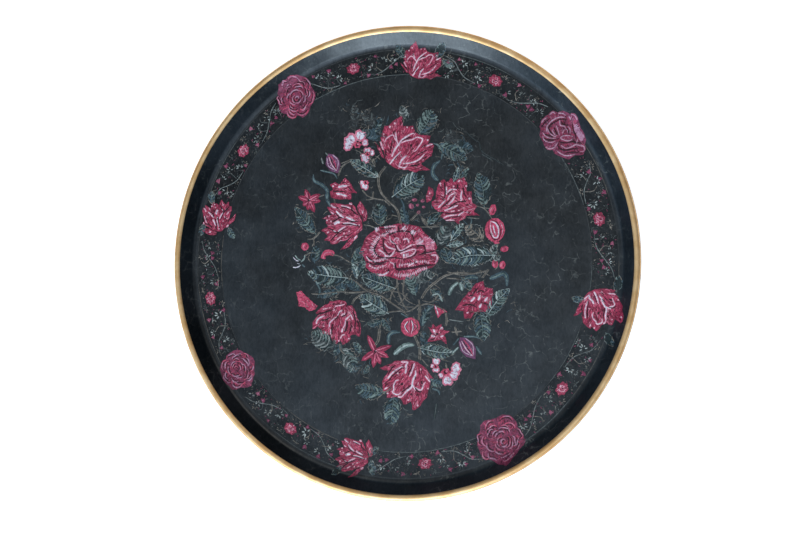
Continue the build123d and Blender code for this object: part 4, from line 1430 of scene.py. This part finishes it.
def paint_border_flowers():
    """Four tulips, the rose at the upper right, three ringed roses and the small roses."""
    for index, (at, like, turn, scale, side) in enumerate(BORDER_TULIPS):
        paint = Paint(seed=61 + index)
        paint_flower(paint, TULIPS[like], BORDER_TULIP_STREAKS, at, turn, scale, side, 2.4)
        paint.piece(f"border_tulip_{index + 1}", "paint_crimson", "border_flowers")
    paint = Paint(seed=71)
    paint_flower(paint, BORDER_ROSE, BORDER_ROSE_STREAKS, BORDER_ROSE_AT, 0, 0.98, 1.0, 2.4,
                 PLUMS)
    paint.piece("border_rose_1", "paint_crimson", "border_flowers")
    for index, (at, size, eye, turn) in enumerate(RINGED_ROSES):
        paint = Paint(seed=72 + index)
        paint_ringed_rose(paint, at, size, eye, turn)
        paint.piece(f"border_rose_{index + 2}", "paint_crimson", "border_flowers")
    small = Paint(seed=81)
    for angle in GAP_ANGLES:
        paint_small_rose(small, angle)
    small.piece("border_small_roses", "paint_crimson", "border_flowers")


def clear_of_blooms(x, y, margin=0.0):
    """Whether a border place lies outside every large border flower."""
    return all(math.dist((x, y), at) >= reach + margin for at, reach in BLOOMS)


def paint_border_lines():
    """The two thin border lines, drawn by hand: they waver, thin out and stop at the blooms."""
    paint = Paint(seed=91)
    draw = paint.random
    steps = 720
    longest_run = 34
    for radius, width in ((INNER_LINE, 0.65), (OUTER_LINE, 0.7)):
        run = []
        drift = 0.0
        for step in range(steps + 1):
            drift = 0.9 * drift + draw.uniform(-0.09, 0.09)
            place = polar(radius + drift, 360 / steps * step)
            free = clear_of_blooms(*place, -0.5)
            if free and len(run) < longest_run and step < steps:
                run.append(place)
                continue
            if len(run) > 2:
                pigment = draw.choice(("shade", "shade", "grey", "umber_dark"))
                paint.stroke(run, width * draw.uniform(0.7, 1.25), pigment, 0.12, 0.6, 0.6, 1.6)
            run = run[-1:] if free else []
    paint.piece("border_edge_lines", "paint_grey", "border_lines")


# One stretch between two large blooms, in mm along the border from its small rose and outward.
VINE_ARCHES = [
    [(-54, 9), (-46, 6), (-38, 0), (-29, -6), (-18, -9)],
    [(17, -9), (29, -7), (37, -1), (43, 5), (54, 9)],
]
VINE_TENDRILS = [
    [(-46, 6), (-50, 0), (-49, -6)], [(-38, 0), (-34, 5), (-36, 9)],
    [(-29, -6), (-24, -1), (-25, 4)], [(-18, -9), (-10, -8), (-8, -5)],
    [(17, -9), (19, -3), (15, 2)], [(29, -7), (27, 1), (31, 6)], [(37, -1), (43, -3), (47, -8)],
    [(43, 5), (50, 3), (54, -2)], [(-12, 9), (-6, 7)], [(8, 8), (14, 9)],
]
# Leaf sprigs: (along, out, way they point, size, pigment). VINE_BUD is the outline of one bud at
# size 1, and VINE_BUDS are their places: (along, out).
VINE_SPRIGS = [
    (-50, 1, 100, 3.0, "pale"), (-46, -8, 250, 2.5, "grey"), (-42, 8, 60, 2.4, "umber"),
    (-40, 3, 130, 2.8, "cream"), (-29, 3, 80, 2.7, "pale"), (-26, -9, 300, 2.1, "umber"),
    (-17, -3, 40, 3.0, "pale"), (-17, 9, 200, 2.4, "grey"), (-8, 8, 110, 2.2, "umber"),
    (-7, -8, 270, 2.1, "grey"), (8, -8, 250, 2.2, "umber"), (9, 8, 60, 2.3, "grey"),
    (17, -4, 150, 3.2, "cream"), (21, 3, 100, 2.6, "pale"), (28, 9, 60, 2.2, "grey"),
    (33, 6, 120, 2.9, "cream"), (30, -9, 280, 2.1, "umber"), (42, -2, 330, 3.2, "cream"),
    (46, -8, 250, 2.5, "pale"), (51, 3, 20, 2.7, "grey"), (50, 9, 70, 2.2, "umber"),
]
VINE_BUD = [(-1, -0.5), (0, -0.8), (1, -0.3), (0.3, 0.2), (0.1, 1), (-0.5, 0.3)]
VINE_BUDS = [
    (-38, -3), (-23, 8), (-13, -7), (12, -9), (22, 9), (47, 4), (-45, -2), (37, 9),
]
DABS_PER_GAP = 260
# The leaves beside the border's tulips: (x, y, way they point, length).
BORDER_LEAVES = [
    (39, 201, 62, 17), (0, 203, 122, 15), (46, 189, 330, 13), (203, -22, 80, 15),
    (196, -74, 300, 14), (167, -36, 170, 12), (-190, 66, 96, 13), (-170, 30, 300, 12),
    (-200, 34, 250, 12), (-28, -196, 280, 14), (-26, -180, 40, 12), (-62, -198, 220, 12),
]


def border_place(angle, along, out):
    """A place on the border, in mm along it from an angle and outward from its middle."""
    return polar(BORDER_R + out, angle + math.degrees(along / BORDER_R))


def paint_sprig(paint, at, heading, pigment, size):
    """Five plump leaflets fanned about a point, on a short stalk."""
    draw = paint.random
    stalk = [(-1.3 * size, 0), (0.3 * size, 0)]
    paint.stroke(moved(stalk, at, heading), 0.4, "shade", 0.12, 0.8, 0.6)
    for lean in (-100, -52, 0, 52, 100):
        if draw.random() > 0.88:
            continue
        near, reach = 0.42 * size, size * draw.uniform(0.9, 1.35)
        blade = [(near, 0), (0.5 * (near + reach), draw.uniform(-0.1, 0.1) * reach), (reach, 0)]
        angle = heading + lean + draw.uniform(-14, 14)
        thick = 0.3 * size * draw.uniform(0.8, 1.15)
        paint.stroke(moved(blade, at, angle), thick, pigment, 0.2, 0.4, 0.3, 0.7)


def paint_gap(paint, angle):
    """The vine, sprigs, buds and loose dabs of one stretch of the border."""
    draw = paint.random

    def put(points, sway=0.0):
        aside, out = draw.uniform(-sway, sway), draw.uniform(-0.5 * sway, 0.5 * sway)
        return [border_place(angle, x + aside, y + out) for x, y in points]

    for curve in VINE_ARCHES:
        line = [place for place in smooth(put(curve, 1.5), 1.5) if clear_of_blooms(*place, -1.0)]
        paint.stroke(line, 0.95, "grey", 0.13, 0.7, 0.5)
        paint.stroke(line, 0.5, "pale", 0.17, 0.4, 0.2)
    for curve in VINE_TENDRILS:
        line = put(curve, 2.0)
        if all(clear_of_blooms(*place) for place in line):
            paint.stroke(line, 0.6, draw.choice(("shade", "grey", "umber")), 0.11, 0.8, 0.3)
    for along, out, way, size, pigment in VINE_SPRIGS:
        spot = put([(along, out)], 2.0)[0]
        if clear_of_blooms(*spot, 1.5):
            heading = angle + 90 - way + draw.uniform(-30, 30)
            paint_sprig(paint, spot, heading, pigment, size * draw.uniform(0.95, 1.3))
    for along, out in VINE_BUDS:
        spot = put([(along, out)], 2.5)[0]
        if clear_of_blooms(*spot, 1.5):
            size = draw.uniform(1.9, 2.8)
            bud = [(x * size, y * size) for x, y in VINE_BUD]
            turned = moved(bud, spot, draw.uniform(0, 360))
            paint.patch(turned, draw.choice(("plum", "magenta", "plum")), 0.14, 0.3)
            light = [(-0.5 * size, -0.3 * size), (0.3 * size, 0.1 * size)]
            paint.stroke(moved(light, spot), 0.6, "heather", 0.2)
    for _ in range(DABS_PER_GAP):
        along, out = draw.uniform(-60, 60), draw.uniform(-10.5, 10.5)
        spot = border_place(angle, along, out)
        if not clear_of_blooms(*spot) or math.hypot(along, out) < 7:
            continue
        reach = draw.uniform(0.9, 2.6)
        dab = [(0, 0), (0.5 * reach, draw.uniform(-0.4, 0.4)), (reach, 0)]
        pigment = draw.choice(
            ("shade", "shade", "umber_dark", "umber_dark", "umber", "grey", "plum")
        )
        thick = draw.uniform(0.4, 0.85)
        paint.stroke(moved(dab, spot, draw.uniform(0, 360)), thick, pigment, 0.09, 0.5, 0.4, 1.3)


def paint_border_vine():
    """The vine round the border, and the leaves beside its tulips."""
    paint = Paint(seed=101)
    for angle in GAP_ANGLES:
        paint_gap(paint, angle)
    for x, y, heading, length in BORDER_LEAVES:
        paint_leaf(paint, (x, y), heading, length, 0.55 * length, "sea", 0.05)
    paint.piece("border_vine_and_sprigs", "paint_grey", "border_vine")


def paint_tray():
    """The whole painting, piece by piece."""
    paint_bouquet()
    paint_foliage()
    paint_stems()
    paint_border_flowers()
    paint_border_lines()
    paint_border_vine()


# ---- stage -------------------------------------------------------------------------------------
def make_floor():
    """A plain pale floor that glows, so that it stays white behind the tray."""
    reach, level = 4.0, -0.0002
    corners = [(-reach, -reach, level), (reach, -reach, level), (reach, reach, level),
               (-reach, reach, level)]
    mesh = bpy.data.meshes.new("studio_floor")
    mesh.from_pydata(corners, [], [(0, 1, 2, 3)])
    made, _, _ = material(
        "studio_white", Base_Color=(0.9, 0.9, 0.9, 1), Roughness=0.9,
        Emission_Color=(1, 1, 1, 1), Emission_Strength=0.85,
    )
    mesh.materials.append(made)
    floor = add_object("studio_floor", mesh)


def make_world():
    """The sky that the tray mirrors, and the pale backdrop that the camera sees."""
    world = bpy.data.worlds.new("studio")
    world.use_nodes = True
    bpy.context.scene.world = world
    tree = Nodes(world.node_tree)
    back = world.node_tree.nodes["Background"]
    where = tree.add("TexCoord").outputs["Generated"]
    x, y, z = tree.add("SeparateXYZ", {0: where}).outputs
    # The upper sky: dim straight above, brighter lower down. Side to side it dips over the middle
    # left and fades towards +X, and it fades from front to back.
    above = tree.product(
        tree.band(z, 0.80, 0.96, 0.88, 0.40),
        tree.band(x, -0.45, 0.0, 0.36, 1.18), tree.band(x, -0.05, 0.30, 1.0, 0.20),
        tree.band(x, -0.85, -0.55, 1.7, 1.0), tree.band(y, -0.16, 0.14, 3.1, 0.90),
    )
    # The low sky: bright only towards -Y, and fading towards +X.
    low = tree.product(
        tree.band(y, 0.1, -0.85, 0.15, 1.25), tree.band(x, -0.15, 0.45, 1.0, 0.06)
    )
    # The upper sky takes over from the low one with height.
    share = tree.band(z, 0.30, 0.80)
    rest = tree.product(low, tree.math("SUBTRACT", 1.0, share))
    cool = tree.mix(tree.band(y, -0.16, 0.14), (0.74, 0.92, 1.12), (0.88, 0.96, 1.0))
    tree.set(back, "Color", tree.mix(share, (0.50, 0.78, 1.10), cool))
    tree.set(back, "Strength", tree.math("MULTIPLY_ADD", above, share, rest))
    # The backdrop behind the floor is as pale as the floor.
    pale = tree.add("Background", {"Color": (1, 1, 1, 1), "Strength": 1.0}).outputs[0]
    seen = tree.add("LightPath").outputs["Is Camera Ray"]
    shown = tree.add("MixShader", {0: seen, 1: back.outputs[0], 2: pale}).outputs[0]
    tree.set(world.node_tree.nodes["World Output"], "Surface", shown)


def make_area(name, place, size, watts, colour):
    """A soft rectangular lamp that faces the middle of the tray."""
    data = bpy.data.lights.new(name, "AREA")
    data.shape = "RECTANGLE"
    data.size, data.size_y = size
    data.energy = watts
    data.color = colour
    lamp = add_object(name, data)
    lamp.location = place
    lamp.rotation_euler = Vector(place).to_track_quat("Z", "Y").to_euler()


def upright(back_way):
    """The turn of a camera that looks against back_way with +Y upwards in the picture."""
    up = Vector((0, 1, 0))
    up -= back_way * up.dot(back_way)
    up.normalize()
    right = up.cross(back_way)
    return Matrix((right, up, back_way)).transposed().to_euler()


def make_camera():
    """The camera that the photograph was taken with, as near as it can be told."""
    camera = add_object("camera", bpy.data.cameras.new("camera"))
    lean = math.sin(VIEW_TILT)
    back_way = Vector(
        (lean * math.cos(VIEW_TURN), lean * math.sin(VIEW_TURN), math.cos(VIEW_TILT))
    )
    camera.location = VIEW_TARGET + back_way * VIEW_DISTANCE
    camera.rotation_euler = upright(back_way)
    camera.data.lens = LENS
    camera.data.sensor_width = SENSOR_WIDTH
    camera.data.clip_start = 0.01
    bpy.context.scene.camera = camera


make_floor()
make_world()
make_area("window", (-0.60, -2.2, 0.85), (2.1, 1.6), 50.0, (0.76, 0.90, 1.0))
make_area("room", (0.9, 1.6, 1.9), (1.2, 1.2), 4.5, (1.0, 0.95, 0.88))
make_camera()
bpy.context.scene.view_settings.view_transform = "Standard"
make_skins()
paint_tray()
for node, dark in (("steel_dish", 0.42), ("rim_wire", 0.36)):
    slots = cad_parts[node].data.materials
    slots[0] = steel_finish(node + "_steel", dark)
